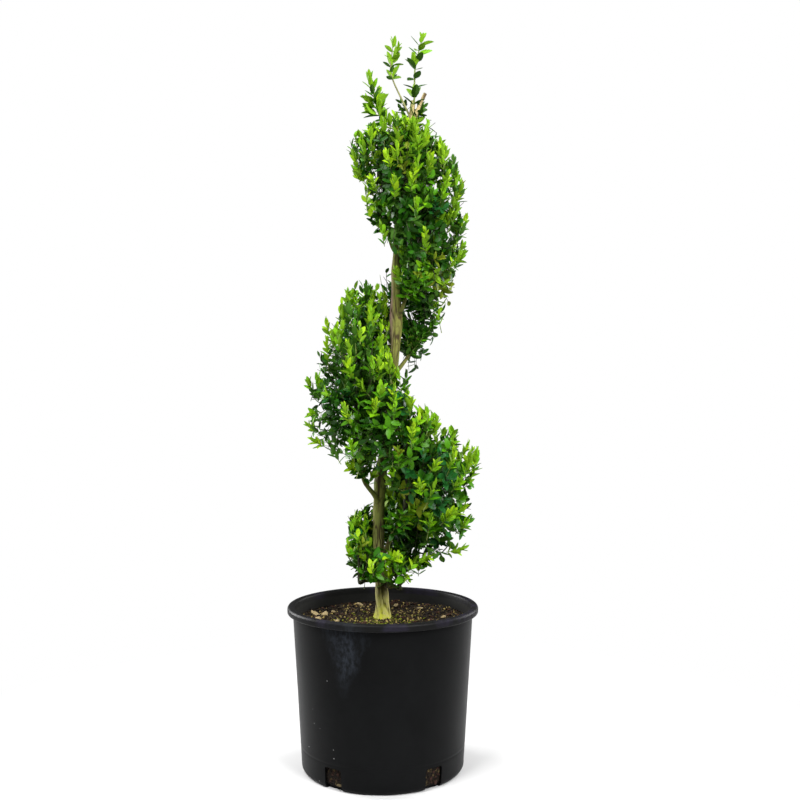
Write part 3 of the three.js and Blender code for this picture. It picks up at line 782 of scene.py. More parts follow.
def around(along, angle, square_to=SQUARE_TO):
    """The way out from each direction at an angle round it: cos a u + sin a v, square to it."""
    u = unit(np.cross(along, np.array(square_to)))
    return np.cos(angle)[..., None] * u + np.sin(angle)[..., None] * np.cross(along, u)


def leaning(along, out, lean):
    """A way that leans from one direction to another: cos lean along + sin lean out."""
    return along * np.cos(lean)[..., None] + out * np.sin(lean)[..., None]


def leaf_faces(along, out, wildness, rng):
    """Where each leaf's upper side looks: to its shoot's tip, square to the leaf, a little off."""
    square = along - out * (along * out).sum(axis=-1, keepdims=True)
    return unit(square + wildness * rng.standard_normal(out.shape))


def stalks(starts, ways, reaches, lifts):
    """The shoots' own stems: start + way s + lift s^2 / 2 upward, at four places."""
    t = np.linspace(0, 1, 4)[None, :, None]
    rise = (lifts * reaches)[:, None, None] * UP
    return starts[:, None] + ways[:, None] * reaches[:, None, None] * t + rise * t**2 / 2


def spread_over(first, last, spacing, least):
    """How many things at a spacing fill the skin between two turns, and their numbers."""
    count = max(least, round(skin_area(first, last) * MM * MM / spacing**2))
    return count, np.arange(count)


def grown_twigs(settings, rng):
    """The strand's main twigs: from each mass's stem to spots spread evenly over the strand's skin.

    Twig i of n stands at the golden share of its mass's turns and at 2 pi i / n round its section.
    """
    steps = 41
    stems = mass_stems(steps)
    *_, firsts, lasts = bough_curves()
    pieces = []
    for stem, first, last in zip(stems, firsts, lasts):
        count, k = spread_over(first, last, settings.spacing, 6)
        place = ((k + 0.5) * GOLDEN_STEP) % 1
        turn = mixed(first, last, place)
        angle = 2 * np.pi * (k + 0.5 * rng.random(count)) / count
        base = stem[np.clip((6 + 34 * place).astype(int), 0, steps - 1)]
        root = strand_point(turn, angle - TWIG["lag"], np.full(count, TWIG["start"]))
        skin = strand_point(turn, angle, np.full(count, TWIG["skin"]))
        pieces.append((base, root, skin, turn, angle))
    return [np.concatenate(column) for column in zip(*pieces)]


def skin_tufts(settings, rng):
    """Young shoots standing on the strand's skin, spread as its twigs are, that lean up to the light."""
    *_, firsts, lasts = bough_curves()
    pieces = []
    for first, last in zip(firsts, lasts):
        count, k = spread_over(first, last, settings.tufts, 8)
        place = ((k + 0.5) * GOLDEN_STEP + 0.06 * rng.standard_normal(count)) % 1
        turn = mixed(first, last, place)
        angle = 2 * np.pi * (k + 0.5 + rng.random(count)) / count + 1.0
        zero = np.zeros(count)
        skin = strand_point(turn, angle, zero + mixed(*SKIN_TUFT["depth"], rng.random(count)))
        normal = unit(skin - strand_point(turn, angle, zero))
        pieces.append((skin, normal, turn, angle))
    skin, normal, turn, angle = (np.concatenate(column) for column in zip(*pieces))
    count = len(turn)
    rise = mixed(*SKIN_TUFT["rise"], rng.random(count))[:, None] * UP
    way = unit(SKIN_TUFT["out"] * normal + rise + SKIN_TUFT["waver"] * rng.standard_normal((count, 3)))
    reach = mixed(*SKIN_TUFT["reach"], rng.random(count))
    # A few shoots have outgrown the last clipping, and the lower coils' shade holds shoots back.
    sunk = np.where(rng.random(count) < SKIN_TUFT["stray"], SKIN_TUFT["stray_sunk"], SKIN_TUFT["sunk"])
    lit = np.clip(0.66 + 0.5 * np.sin(angle), 0, 1) * smooth_rows(CLIPPED, turn)[:, 3]
    keep = rng.random(count) < settings.young * lit
    start = skin - way * (sunk * reach)[:, None]
    return start[keep], way[keep], reach[keep], turn[keep]


def shoots_along(paths, rng):
    """Side shoots on twigs: golden-angle steps round each, leaning out from it and up."""
    count, steps, _ = paths.shape
    length = np.linalg.norm(np.diff(paths, axis=1), axis=2).sum(axis=1)
    most = SIDE_SHOOT["most"]
    number = np.arange(most)[None]
    waver = SIDE_SHOOT["waver"] * rng.random((count, most))
    share = SIDE_SHOOT["first"] - SIDE_SHOOT["step"] * number - waver
    used = share * length[:, None] > SIDE_SHOOT["least"]
    used &= number < np.maximum(1, (length / SIDE_SHOOT["each"]).astype(int))[:, None]
    at = np.clip(share * (steps - 1), 0, steps - 1.001)
    low = at.astype(int)
    row = np.arange(count)[:, None]
    start = mixed(paths[row, low], paths[row, low + 1], (at - low)[..., None])
    along = unit(paths[row, low + 1] - paths[row, low])
    angle = GOLDEN_ANGLE * number + 2 * np.pi * rng.random((count, 1)) + 0.5 * rng.random((count, most))
    lean = np.radians(mixed(*SIDE_SHOOT["lean"], rng.random((count, most))))
    way = unit(leaning(along, around(along, angle), lean) + SIDE_SHOOT["rise"] * UP)
    reach = mixed(*SIDE_SHOOT["reach"], rng.random((count, most)))
    return start[used], way[used], reach[used], np.broadcast_to(row, used.shape)[used]


def shoot_leaves(start, way, reach, lift, young, rng):
    """Crossing pairs of leaves down each shoot from its tip; young shoots hold theirs upright.

    A shoot's axis is start + way s + lift s^2 / 2 upward; pair j stands j spacings below its tip,
    a quarter turn from the last, and opens by its own spread.
    """
    count, pairs = len(start), len(PAIR_SIZES)
    spacing = np.where(young, YOUNG_SPACING, OLD_SPACING)
    j = np.arange(pairs)
    s = 1 - j[None] * spacing[:, None] / reach[:, None]
    used = s > 0.06
    s = np.clip(s, 0, 1)[..., None]
    rise = (lift * reach)[:, None, None] * UP
    at = start[:, None] + way[:, None] * (reach[:, None, None] * s) + rise * s**2 / 2
    along = unit(way[:, None] * reach[:, None, None] + rise * s)
    roll = rng.random(count)[:, None] * np.pi + j[None] * np.pi / 2
    spread = np.where(young[:, None], YOUNG_SPREAD[None], OLD_SPREAD[None])
    spread = np.radians(spread + 9 * rng.standard_normal((count, pairs)))
    leaves = []
    for flip in (0, np.pi):
        out = leaning(along, around(along, roll + flip, (0.17, 0.93, 0.31)), spread)
        out = unit(out + UP * (0.18 * (rng.random((count, pairs)) - 0.15))[..., None])
        leaves.append((at, out, leaf_faces(along, out, 0.25, rng)))
    at, out, face = (np.stack(column, axis=2) for column in zip(*leaves))
    size = (PAIR_SIZES[None] * mixed(0.82, 1.12, rng.random((count, pairs))))[..., None]
    size = size * mixed(0.92, 1.06, rng.random((count, pairs, 2)))
    used = np.broadcast_to(used[..., None], size.shape)
    pair = np.broadcast_to(j[None, :, None], size.shape)
    shoot = np.broadcast_to(np.arange(count)[:, None, None], size.shape)
    return at[used], out[used], face[used], size[used], pair[used], shoot[used]


class Greenery:
    """What has grown: leaves by kind, and the twigs that bear them."""

    def __init__(self):
        self.leaves = []
        self.twigs = {"woody": [], "green": [], "pale": []}

    def add_twigs(self, colour, paths, first_radius, last_radius):
        """Thin stems that taper evenly."""
        taper = np.linspace(first_radius, last_radius, paths.shape[1])[None]
        self.twigs[colour].append((paths, taper * np.ones((len(paths), 1))))

    def add_shoots(self, starts, ways, reaches, youths, lift, settings, rng, large=1.0):
        """Shoots with their stems and leaves; each shoot's leaves share one tint."""
        lifts = np.full(len(starts), lift)
        at, out, face, size, pair, shoot = shoot_leaves(starts, ways, reaches, lifts, youths, rng)
        tint = np.where(youths, rng.choice([FRESH, BRIGHT], size=len(starts), p=[0.4, 0.6]),
                        rng.choice([DEEP, SHADE, MID], size=len(starts), p=[0.4, 0.2, 0.4]))
        young = youths[shoot]
        kind = np.where(young & (pair >= SHADED_PAIR), MID, tint[shoot])
        length = large * size * np.where(young, settings.young_leaf, settings.leaf) / MM
        self.leaves.append((at, out, face, length, length * np.where(young, YOUNG_WIDTH, OLD_WIDTH), kind))
        self.add_twigs("green", stalks(starts, ways, reaches, lifts), 0.7, 0.4)


def strand_tints(turn, angle, youths, pair, shoot, owner, rng):
    """Tints by spray: a twig's old leaves share one, and each young shoot's leaves another."""
    count = len(turn)
    old = rng.choice([DEEP, SHADE, BLUE, MID], size=count, p=OLD_TINTS)
    # The lower turns' old sprays draw paler tints: painted light that lifts their shade.
    low = rng.choice([DEEP, SHADE, BLUE, MID], size=count, p=LIFTED_LOW_TINTS)
    old = np.where(turn < LOW_TURN, low, old)
    # Under the strand above the lower turns, half the old sprays turn deep green: painted shade.
    painted_shade_under = (np.sin(angle) < -0.45) & (turn > LOW_TURN)
    old = np.where(painted_shade_under & (rng.random(count) < 0.5), DEEP, old)
    old = np.where(rng.random(count) < 0.035, OLIVE, old)
    young = rng.choice([MID, FRESH, BRIGHT, OLIVE], size=len(youths), p=YOUNG_TINTS)
    darker = np.where(young == BRIGHT, FRESH, MID)
    young_kind = np.where(pair < SHADED_PAIR, young[shoot], darker[shoot])
    return np.where(youths[shoot], young_kind, old[owner[shoot]])


def clear_of_boughs(points):
    """Whether each point keeps 3 mm off every bough, taken as thick as at its root."""
    foot, bend, entry, thick, *_ = bough_curves()
    steps = 14
    axis = bezier(foot, bend, entry, steps).reshape(-1, 3)
    gap = np.linalg.norm(points[:, None] - axis[None], axis=2) - (np.repeat(thick, steps) + 3)[None]
    return gap.min(axis=1) > 0


def grow_strand(settings):
    """Grows the whole strand: main twigs, side shoots, end tufts and their leaves."""
    rng = np.random.default_rng(settings.seed)
    green = Greenery()
    base, root, skin, turn, angle = grown_twigs(settings, rng)
    count, steps = len(base), 9
    span = np.linalg.norm(skin - root, axis=1)
    tuft = mixed(*END_TUFT["reach"], rng.random(count))
    tip = root + unit(skin - root) * np.maximum(span - END_TUFT["inside"] * tuft, 6)[:, None]
    bow = np.sin(np.linspace(0, np.pi, steps))[None, :, None]
    paths = bezier(base, root, tip, steps) + rng.standard_normal((count, 1, 3)) * 2.2 * bow
    taper = TWIG["radius"] * np.linspace(1, TWIG["taper"], steps)[None]
    green.twigs["woody"].append((paths, taper * mixed(0.8, 1.25, rng.random((count, 1)))))

    # Which end tufts are of this year: the ones that face up, out to the light.
    chance = settings.young * mixed(0.05, 0.45, 0.5 + 0.5 * np.sin(angle))
    young = rng.random(count) < chance
    end = unit(paths[:, -1] - paths[:, -2])
    end_lift = np.where(young, mixed(*END_TUFT["young_lift"], rng.random(count)), END_TUFT["old_lift"])
    end_reach = tuft * np.where(young, END_TUFT["young"], END_TUFT["old"])
    start, way, reach, owner = shoots_along(paths, rng)
    side_young = (rng.random(len(start)) < 0.3 * chance[owner]) & (reach > 17)
    tuft_start, tuft_way, tuft_reach, tuft_turn = skin_tufts(settings, rng)
    tufts = len(tuft_start)

    starts = np.concatenate([paths[:, -1], start, tuft_start])
    ways = np.concatenate([end, way, tuft_way])
    reaches = np.concatenate([end_reach, reach, tuft_reach])
    side_lift, tuft_lift = np.full(len(start), SIDE_SHOOT["lift"]), np.full(tufts, SKIN_TUFT["lift"])
    lifts = np.concatenate([end_lift, side_lift, tuft_lift])
    youths = np.concatenate([young, side_young, np.ones(tufts, bool)])
    owners = np.concatenate([np.arange(count), owner, rng.integers(0, count, tufts)])
    nears = np.concatenate([turn, turn[owner], tuft_turn])
    at, along, face, size, pair, shoot = shoot_leaves(starts, ways, reaches, lifts, youths, rng)
    kind = strand_tints(turn, angle, youths, pair, shoot, owners, rng)
    is_young, near = youths[shoot], nears[shoot]
    # Old leaves are larger in the shade of the lower turns.
    length = size * np.where(is_young, settings.young_leaf, settings.leaf) / MM
    length = length * np.where(is_young, 1.0, np.interp(near, [0.6, 1.0], [1.32, 1.0]))
    width = length * np.where(is_young, YOUNG_WIDTH, OLD_WIDTH) * mixed(0.88, 1.12, rng.random(len(length)))

    # Leaves keep to the strand's reach, clear of the trunk and of the boughs.
    share, clear = strand_share(at + along * length[:, None], near)
    clear &= strand_share(at, near)[1] & clear_of_boughs(at + along * (0.55 * length)[:, None])
    thin = sum(most * np.exp(-(((nears - place) / spread) ** 2)) for place, spread, most in THIN_PLACES)
    full = rng.random(len(nears)) > thin
    keep = clear & (share < np.where(is_young, REACH["young"], REACH["grown"])) & full[shoot]
    green.leaves.append([column[keep] for column in (at, along, face, length, width, kind)])

    stems = stalks(starts, ways, reaches, lifts)
    share, clear = strand_share(stems[:, -1], nears)
    keep = clear & (share < REACH["young"])
    green.add_twigs("green", stems[youths & keep], 0.62, 0.36)
    green.add_twigs("woody", stems[~youths & keep], 0.62 * 0.95, 0.36 * 0.95)
    return green


def pairs_on_stem(path, places, rng):
    """Opposite leaves on a stem: a pair at each place along it, a quarter turn on from the last."""
    count = len(places)
    at = np.clip(places * (len(path) - 1), 0, len(path) - 1.01)
    low = at.astype(int)
    start = mixed(path[low], path[low + 1], (at - low)[:, None])
    along = unit(path[low + 1] - path[low])
    angle = rng.random() * np.pi + np.arange(count) * np.pi / 2 + 0.25 * rng.standard_normal(count)
    start, along = (np.concatenate([rows, rows]) for rows in (start, along))
    return start, along, around(along, np.concatenate([angle, angle + np.pi]), (0.2, 0.95, 0.1))


def grow_sprigs(settings, green):
    """Grows the loose shoots over the strand: leaves on their stems, side shoots and end tufts."""
    rng = np.random.default_rng(settings.seed + 100)
    for sprig in SPRIGS:
        stops = np.concatenate([trunk_centre(np.array([sprig["foot"]])), np.array(sprig["way"], float)])
        table = np.column_stack([np.arange(len(stops)), stops])
        path = smooth_rows(table, np.linspace(0, len(stops) - 1, 25))
        green.add_twigs(sprig["stem"], path[None], 1.7, 0.7)
        length = np.linalg.norm(np.diff(path, axis=0), axis=1).sum()
        places = np.arange(0.97, sprig["bare"], -sprig["gap"] / length)
        start, along, side = pairs_on_stem(path, places, rng)
        count = len(start)

        out = leaning(along, side, np.radians(mixed(*SPRIG_SIDE["leaf_lean"], rng.random(count))))
        face = leaf_faces(along, out, 0.3, rng)
        size = mixed(*sprig["leaf"], rng.random(count))
        low = np.concatenate([places, places]) < 0.25 + 0.75 * rng.random(count)
        old, young = rng.choice([DEEP, SHADE], size=count), rng.choice([MID, FRESH], size=count)
        green.leaves.append((start, out, face, size, size * SPRIG_WIDTH, np.where(low, old, young)))

        bears = rng.random(count) < sprig["shoots"]
        lean = np.radians(mixed(*SPRIG_SIDE["lean"], rng.random(count)))
        ways = unit(leaning(along, side, lean))[bears]
        reaches = mixed(*SPRIG_SIDE["reach"], rng.random(bears.sum()))
        starts = np.concatenate([path[-1:] - along[:1] * 2, start[bears]])
        ways = np.concatenate([along[:1], ways])
        reaches = np.concatenate([[sprig["tuft"]], reaches])
        youths = np.ones(len(starts), bool)
        lift, large = SPRIG_SIDE["lift"], SPRIG_SIDE["large"]
        green.add_shoots(starts, ways, reaches, youths, lift, settings, rng, large)


def grow_bough_shoots(settings, green):
    """Grows short leafy shoots along the boughs' outer halves, at golden-angle steps round them."""
    rng = np.random.default_rng(settings.seed + 300)
    foot, bend, entry, *_ = bough_curves()
    steps, each = 30, BOUGH_SHOOT["each"]
    paths = bezier(foot, bend, entry, steps)
    place = np.linspace(*BOUGH_SHOOT["place"], each)[None]
    place = place + BOUGH_SHOOT["waver"] * rng.standard_normal((MASSES, each))
    low = np.clip((place * (steps - 1)).astype(int), 0, steps - 2)
    row = np.arange(MASSES)[:, None]
    start = paths[row, low]
    along = unit(paths[row, low + 1] - start)
    angle = GOLDEN_ANGLE * np.arange(each)[None] + 2 * np.pi * rng.random((MASSES, 1))
    lean = np.radians(mixed(*BOUGH_SHOOT["lean"], rng.random((MASSES, each))))
    way = unit(leaning(along, around(along, angle), lean) + BOUGH_SHOOT["rise"] * UP)
    reach = mixed(*BOUGH_SHOOT["reach"], rng.random((MASSES, each)))
    # A short bough is all leaves already, and the trunk's foot is bare.
    long = np.linalg.norm(entry - foot, axis=1)[:, None] > BOUGH_SHOOT["shortest_bough"]
    tip = start + way * reach[..., None]
    from_trunk = np.linalg.norm((tip - trunk_centre(tip[..., 2]))[..., :2], axis=-1)
    clear = from_trunk > trunk_radius(tip[..., 2]) + BOUGH_SHOOT["clear"]
    used = long & clear & (tip[..., 2] > BOUGH_SHOOT["lowest_tip"])
    youths = rng.random(used.sum()) < BOUGH_SHOOT["young"]
    green.add_shoots(start[used], way[used], reach[used], youths, BOUGH_SHOOT["lift"], settings, rng)


def grow_collar(settings, green):
    """Grows the short shoots round the trunk's top, at golden-angle steps up it."""
    rng = np.random.default_rng(settings.seed + 200)
    count = COLLAR["count"]
    k = np.arange(count)
    height = mixed(COLLAR["low"], COLLAR["high"], (k + rng.random(count)) / count)
    turn = k * GOLDEN_STEP + 0.08 * rng.standard_normal(count)
    lean = np.radians(mixed(*COLLAR["lean"], rng.random(count)))
    way = leaning(UP, outward(turn), lean)
    start = trunk_centre(height) + outward(turn) * (trunk_radius(height)[:, None] - 0.5)
    reach = mixed(COLLAR["shortest"], COLLAR["longest"], rng.random(count))
    behind = np.cos(2 * np.pi * turn) < 0.2
    used = (height < COLLAR["front_top"]) | behind
    youths = rng.random(used.sum()) < COLLAR["young"]
    green.add_shoots(start[used], way[used], reach[used], youths, COLLAR["lift"], settings, rng)


# ---- the pieces ----

def pot_radius(height):
    """The pot's outside under its lip: an even taper over the wall."""
    return mixed(POT["foot"], POT["top"], height / POT["wall_height"])


class TOPIARY_OT_pot(Operator):
    """Turn the pot, roll its lip and cut its drain holes"""
    bl_idname = "topiary.pot"
    bl_label = "Nursery pot"

    def execute(self, context):
        settings = context.scene.topiary_pot
        wall, lip, crease = settings.wall / MM, settings.lip / MM, settings.crease / MM
        height, rim = POT_HIGH[2], POT_HIGH[0]
        lip_foot = height - lip
        rows = [np.linspace(10, 30, 6), np.linspace(32, 44, 13), np.linspace(50, lip_foot - 3, 22)]
        rows = np.concatenate(rows)
        dent = np.exp(-(((rows - 38) / 1.6) ** 2)) - 0.35 * np.exp(-(((rows - 41.5) / 2.2) ** 2))
        inner_rows = np.linspace(height - 6, 8, 20)
        points, faces = revolved(np.concatenate([
            [[0, 1.6], [60, 1.6], [104, 1.6], [112, 0.0]],
            arc(pot_radius(8) - 8, 8, 8, -90, -2, 9),
            np.stack([pot_radius(rows) - crease * dent, rows], axis=1),
            arc(POT["top"] + 1.4, lip_foot - 1.6, 1.6, 180, 92, 5),
            arc(rim - 2.2, lip_foot + 2.2, 2.2, -90, 0, 5),
            arc(rim - 4.6, height - 4.6, 4.6, 4, 90, 9),
            arc(pot_radius(height) - wall + 3.4, height - 3.4, 3.4, 92, 178, 7),
            np.stack([pot_radius(inner_rows) - wall, inner_rows], axis=1),
            arc(pot_radius(6) - wall - 3, 7, 3, 0, -88, 5),
            [[60, 4.0], [0, 4.0]],
        ]), settings.sides)

        # A moulded wall is never quite round: it swells and sinks by a few tenths.
        angle = np.arctan2(points[:, 1], points[:, 0])
        sway = 0.35 * np.sin(2 * angle + 0.7) + 0.25 * np.sin(3 * angle + points[:, 2] / 80)
        out = np.hypot(points[:, 0], points[:, 1])
        free = np.clip((out - 115) / 10, 0, 1) * np.clip((rim - 3 - out) / 5, 0, 1)
        points[:, :2] *= (1 + sway * free / np.maximum(out, 1))[:, None]
        pot = place_piece("nursery_pot", points, faces, [plastic_finish(settings)], "pot", ["pot"], crisp=50)
        cutters = joined([self.drain_cutter(degrees) for degrees in DRAIN_ANGLES])
        cutter = place_piece("drain_cutter", *cutters, [], None)
        cut = pot.modifiers.new("drain", "BOOLEAN")
        cut.operation, cut.object, cut.solver = "DIFFERENCE", cutter, "EXACT"
        mesh = bpy.data.meshes.new_from_object(pot.evaluated_get(context.evaluated_depsgraph_get()))
        pot.modifiers.remove(cut)
        pot.data = mesh
        mesh.shade_smooth()
        mesh.set_sharp_from_angle(angle=math.radians(38))
        bpy.data.objects.remove(cutter)
        if not len(mesh.polygons):
            raise RuntimeError("cutting the drain holes left no pot")
        return {"FINISHED"}

    def drain_cutter(self, degrees):
        """A block with its upper corners rounded, standing across the wall's foot at an angle."""
        half, top, depth, corner = DRAIN["half_width"], DRAIN["top"], DRAIN["depth"], DRAIN["corner"]
        right = arc(half - corner, top - corner, corner, 0, 90, 6)
        outline = np.concatenate([[[half, -5]], right, right[::-1] * [-1, 1], [[-half, -5]]])
        inner, outer = depth - POT["foot"], -depth - POT["foot"]
        rings = [np.insert(outline, 1, y, axis=1) for y in (inner, outer)]
        points = np.concatenate([*rings, [[0, inner, 12], [0, outer, 12]]])
        c, s = math.cos(math.radians(degrees)), math.sin(math.radians(degrees))
        return points @ np.array([[c, s, 0], [-s, c, 0], [0, 0, 1]]), list(ring_faces(2, len(outline)))


def ground(x, y):
    """The soil's height: a slow wave that fades towards the trunk."""
    wave = np.sin(x / 19) * np.cos(y / 23) - 0.6
    t = np.clip((np.hypot(x, y) - 30) / 30, 0, 1)
    return SOIL_LEVEL + 3 * wave * t * t * (3 - 2 * t)


def strewn(count, inner, outer, rng):
    """Places spread evenly over a ring of the ground."""
    angle = rng.random(count) * 2 * np.pi
    radius = np.sqrt(mixed(inner**2, outer**2, rng.random(count)))
    return radius * np.cos(angle), radius * np.sin(angle)


def uneven(least, most, power, low, rng, count, shape=(1, 1, 1)):
    """Three sizes for each thing: least to most by a power of chance, times its shape, each varied."""
    size = mixed(least, most, rng.random((count, 1)) ** power) * np.array(shape)
    return size * mixed(low, 1.2, rng.random((count, 3)))


def seated(x, y, size, share):
    """Points over the ground by a share of each thing's height."""
    return np.stack([x, y, ground(x, y) + share * size[:, 2]], axis=1)


class TOPIARY_OT_soil(Operator):
    """Fill the pot with its bark mix and strew grains, chips and moss on it"""
    bl_idname = "topiary.soil"
    bl_label = "Soil"

    def execute(self, context):
        settings = context.scene.topiary_soil
        rng = np.random.default_rng(settings.seed)
        self.fill(settings)
        outer = self.reach(SOIL_LEVEL) - 3

        # Pumice and sand: cream, tan and grey-brown grains, more of them near the trunk.
        x, y = strewn(settings.grains, 14, outer, rng)
        near = np.exp(-(((x - 8) / 75) ** 2) - ((y + 5) / 85) ** 2)
        keep = rng.random(len(x)) < 0.25 + 0.75 * near
        x, y = x[keep], y[keep]
        size = uneven(1.1, 3.7, 1.8, 0.75, rng, len(x))
        spot = seated(x, y, size, 0.35)
        shade = rng.choice(len(GRAIN_TINTS), size=len(x), p=[0.14, 0.22, 0.64])
        for number, (name, tint) in enumerate(GRAIN_TINTS.items()):
            chosen = shade == number
            shape = lumps(spot[chosen], size[chosen], 0.4, rng)
            self.lay(f"grains_{name}", shape, grain_finish(f"grain_{name}", tint))

        # Bark chips: flat, dark, a centimetre or so, with a few fresh tan ones on the left.
        x, y = strewn(settings.chips, 20, outer, rng)
        size = uneven(3, 10, 1.6, 0.8, rng, len(x), (1, 0.6, 0.32))
        spot = seated(x, y, size, 0.5)
        dark = rng.random(len(x)) < 0.6
        for name, chosen in (("dark", dark), ("red", ~dark)):
            shape = lumps(spot[chosen], size[chosen], 0.75, rng, 0.35)
            self.lay(f"chips_{name}", shape, grain_finish(f"bark_{name}", BARK_TINTS[name]))
        x, y = FRESH_CHIPS[:, 0], FRESH_CHIPS[:, 1]
        spot = np.column_stack([x, y, ground(x, y) + 3.2])
        shape = lumps(spot, FRESH_CHIPS[:, 2:], 0.7, rng, 0.22)
        self.lay("chips_fresh", shape, grain_finish("bark_fresh", BARK_TINTS["fresh"]))

        # Bark shows in the drain holes, with one tan chunk in a front hole.
        each = 9
        count = each * len(DRAIN_ANGLES)
        turn = np.radians(np.repeat(DRAIN_ANGLES, each)) + 0.085 * rng.standard_normal(count)
        spot = np.stack([121 * np.sin(turn), -121 * np.cos(turn), mixed(7, 29, rng.random(count))], axis=1)
        shape = lumps(spot, uneven(3.5, 7.5, 1, 0.7, rng, count), 0.8, rng, 0.35)
        self.lay("bark_in_drains", shape, grain_finish("drain_bark", BARK_TINTS["wet"]))
        chunk = math.radians(-30.5)
        spot = np.array([[122 * math.sin(chunk), -122 * math.cos(chunk), 8.0]])
        shape = lumps(spot, np.array([[11.0, 5.0, 5.5]]), 0.8, rng, 0.2)
        self.lay("chunk_in_drain", shape, grain_finish("drain_chunk", BARK_TINTS["chunk"]))

        # Moss: small green cushions, thick round the trunk's foot and to its front.
        angle = rng.random(settings.moss) * 2 * np.pi
        radius = 12 + 62 * rng.random(settings.moss) ** 1.5
        x, y = radius * np.cos(angle) * 1.15 + 2, radius * np.sin(angle) - 18
        keep = (np.hypot(x, y) > 11) & (np.hypot(x, y) < outer - 2)
        x, y = x[keep], y[keep]
        size = uneven(1.6, 5.0, 1, 0.8, rng, len(x), (1, 1, 0.5))
        self.lay("moss", lumps(seated(x, y, size, 0.2), size, 0.8, rng, 0.3), moss_finish(), crisp=60)
        return {"FINISHED"}

    def reach(self, height):
        """The radius of the soil inside the pot's wall."""
        return pot_radius(height) - bpy.context.scene.topiary_pot.wall / MM - 0.3

    def fill(self, settings):
        """The soil itself: a turned solid, its top roughened and its side pressed in by up to 3 mm."""
        foot, sides = 4.3, 144
        side = np.linspace(foot + 4, SOIL_LEVEL - 1, 26)
        top = np.linspace(1, 0, 64)[:-1] * self.reach(SOIL_LEVEL)
        profile = np.concatenate([
            [[0, foot], [self.reach(foot) - 4, foot]], np.stack([self.reach(side), side], axis=1),
            np.stack([top, np.full(len(top), SOIL_LEVEL)], axis=1), [[0, SOIL_LEVEL]],
        ])
        points, faces = revolved(profile, sides)
        steps = len(profile) - 2
        rough = (wavy(steps, sides, (3, 2), 1) + wavy(steps, sides, (1.5, 1.2), 2)).ravel()
        rough = np.concatenate([rough, [1, 1]])
        above = points[:, 2] > SOIL_LEVEL - 0.5
        points[above, 2] = ground(points[above, 0], points[above, 1]) + 1.6 * (rough[above] - 1.2)
        inset = ~above & (points[:, 2] > foot + 1)
        points[inset, :2] *= (1 - 0.012 * rough[inset])[:, None]
        self.lay("bark_mix", (points, faces), earth_finish(settings), crisp=80)

    def lay(self, name, shape, finish, crisp=25):
        place_piece(name, *shape, [finish], "soil", ["soil"], crisp=crisp)


def fissures(steps, sides, seed):
    """Bark's depth from 0, in a crack, to 1 on a ridge: cracks run where drawn-out noise is even.

    The whole pattern winds slowly round the limb, by a twentieth of a column at each step.
    """
    long = wavy(steps, sides, (21, 5.5), seed)
    fine = wavy(steps, sides, (9, 3), seed + 1)
    thread = wavy(steps, sides, (16, 2), seed + 2)
    crack = 0.8 * np.exp(-(((long - 0.5) / 0.10) ** 2))
    small = 0.5 * np.exp(-(((fine - 0.5) / 0.09) ** 2))
    depth = np.clip(1 - np.maximum(crack, small) + 0.35 * (thread - 0.5), 0, 1)
    column = (np.arange(sides)[None] + (np.arange(steps)[:, None] * 0.05).astype(int)) % sides
    return np.take_along_axis(depth, column, axis=1)


def place_limbs(name, paths, radii, depths, finish, nodes, crisp, **fields):
    """Barked limbs over the soil; each field of the bark comes with its value at the closed ends."""
    points, faces = tubes(paths, radii, radii.shape[-1])
    points[:, 2] += TRUNK_FOOT
    values = {}
    for key, (field, at_ends) in {"depth": depths, **fields}.items():
        field = field.reshape(len(paths), -1)
        values[key] = np.clip(np.pad(field, ((0, 0), (0, 2)), constant_values=at_ends), 0, 1).ravel()
    place_piece(name, points, faces, [finish], "bark", nodes, crisp=crisp, values=values)


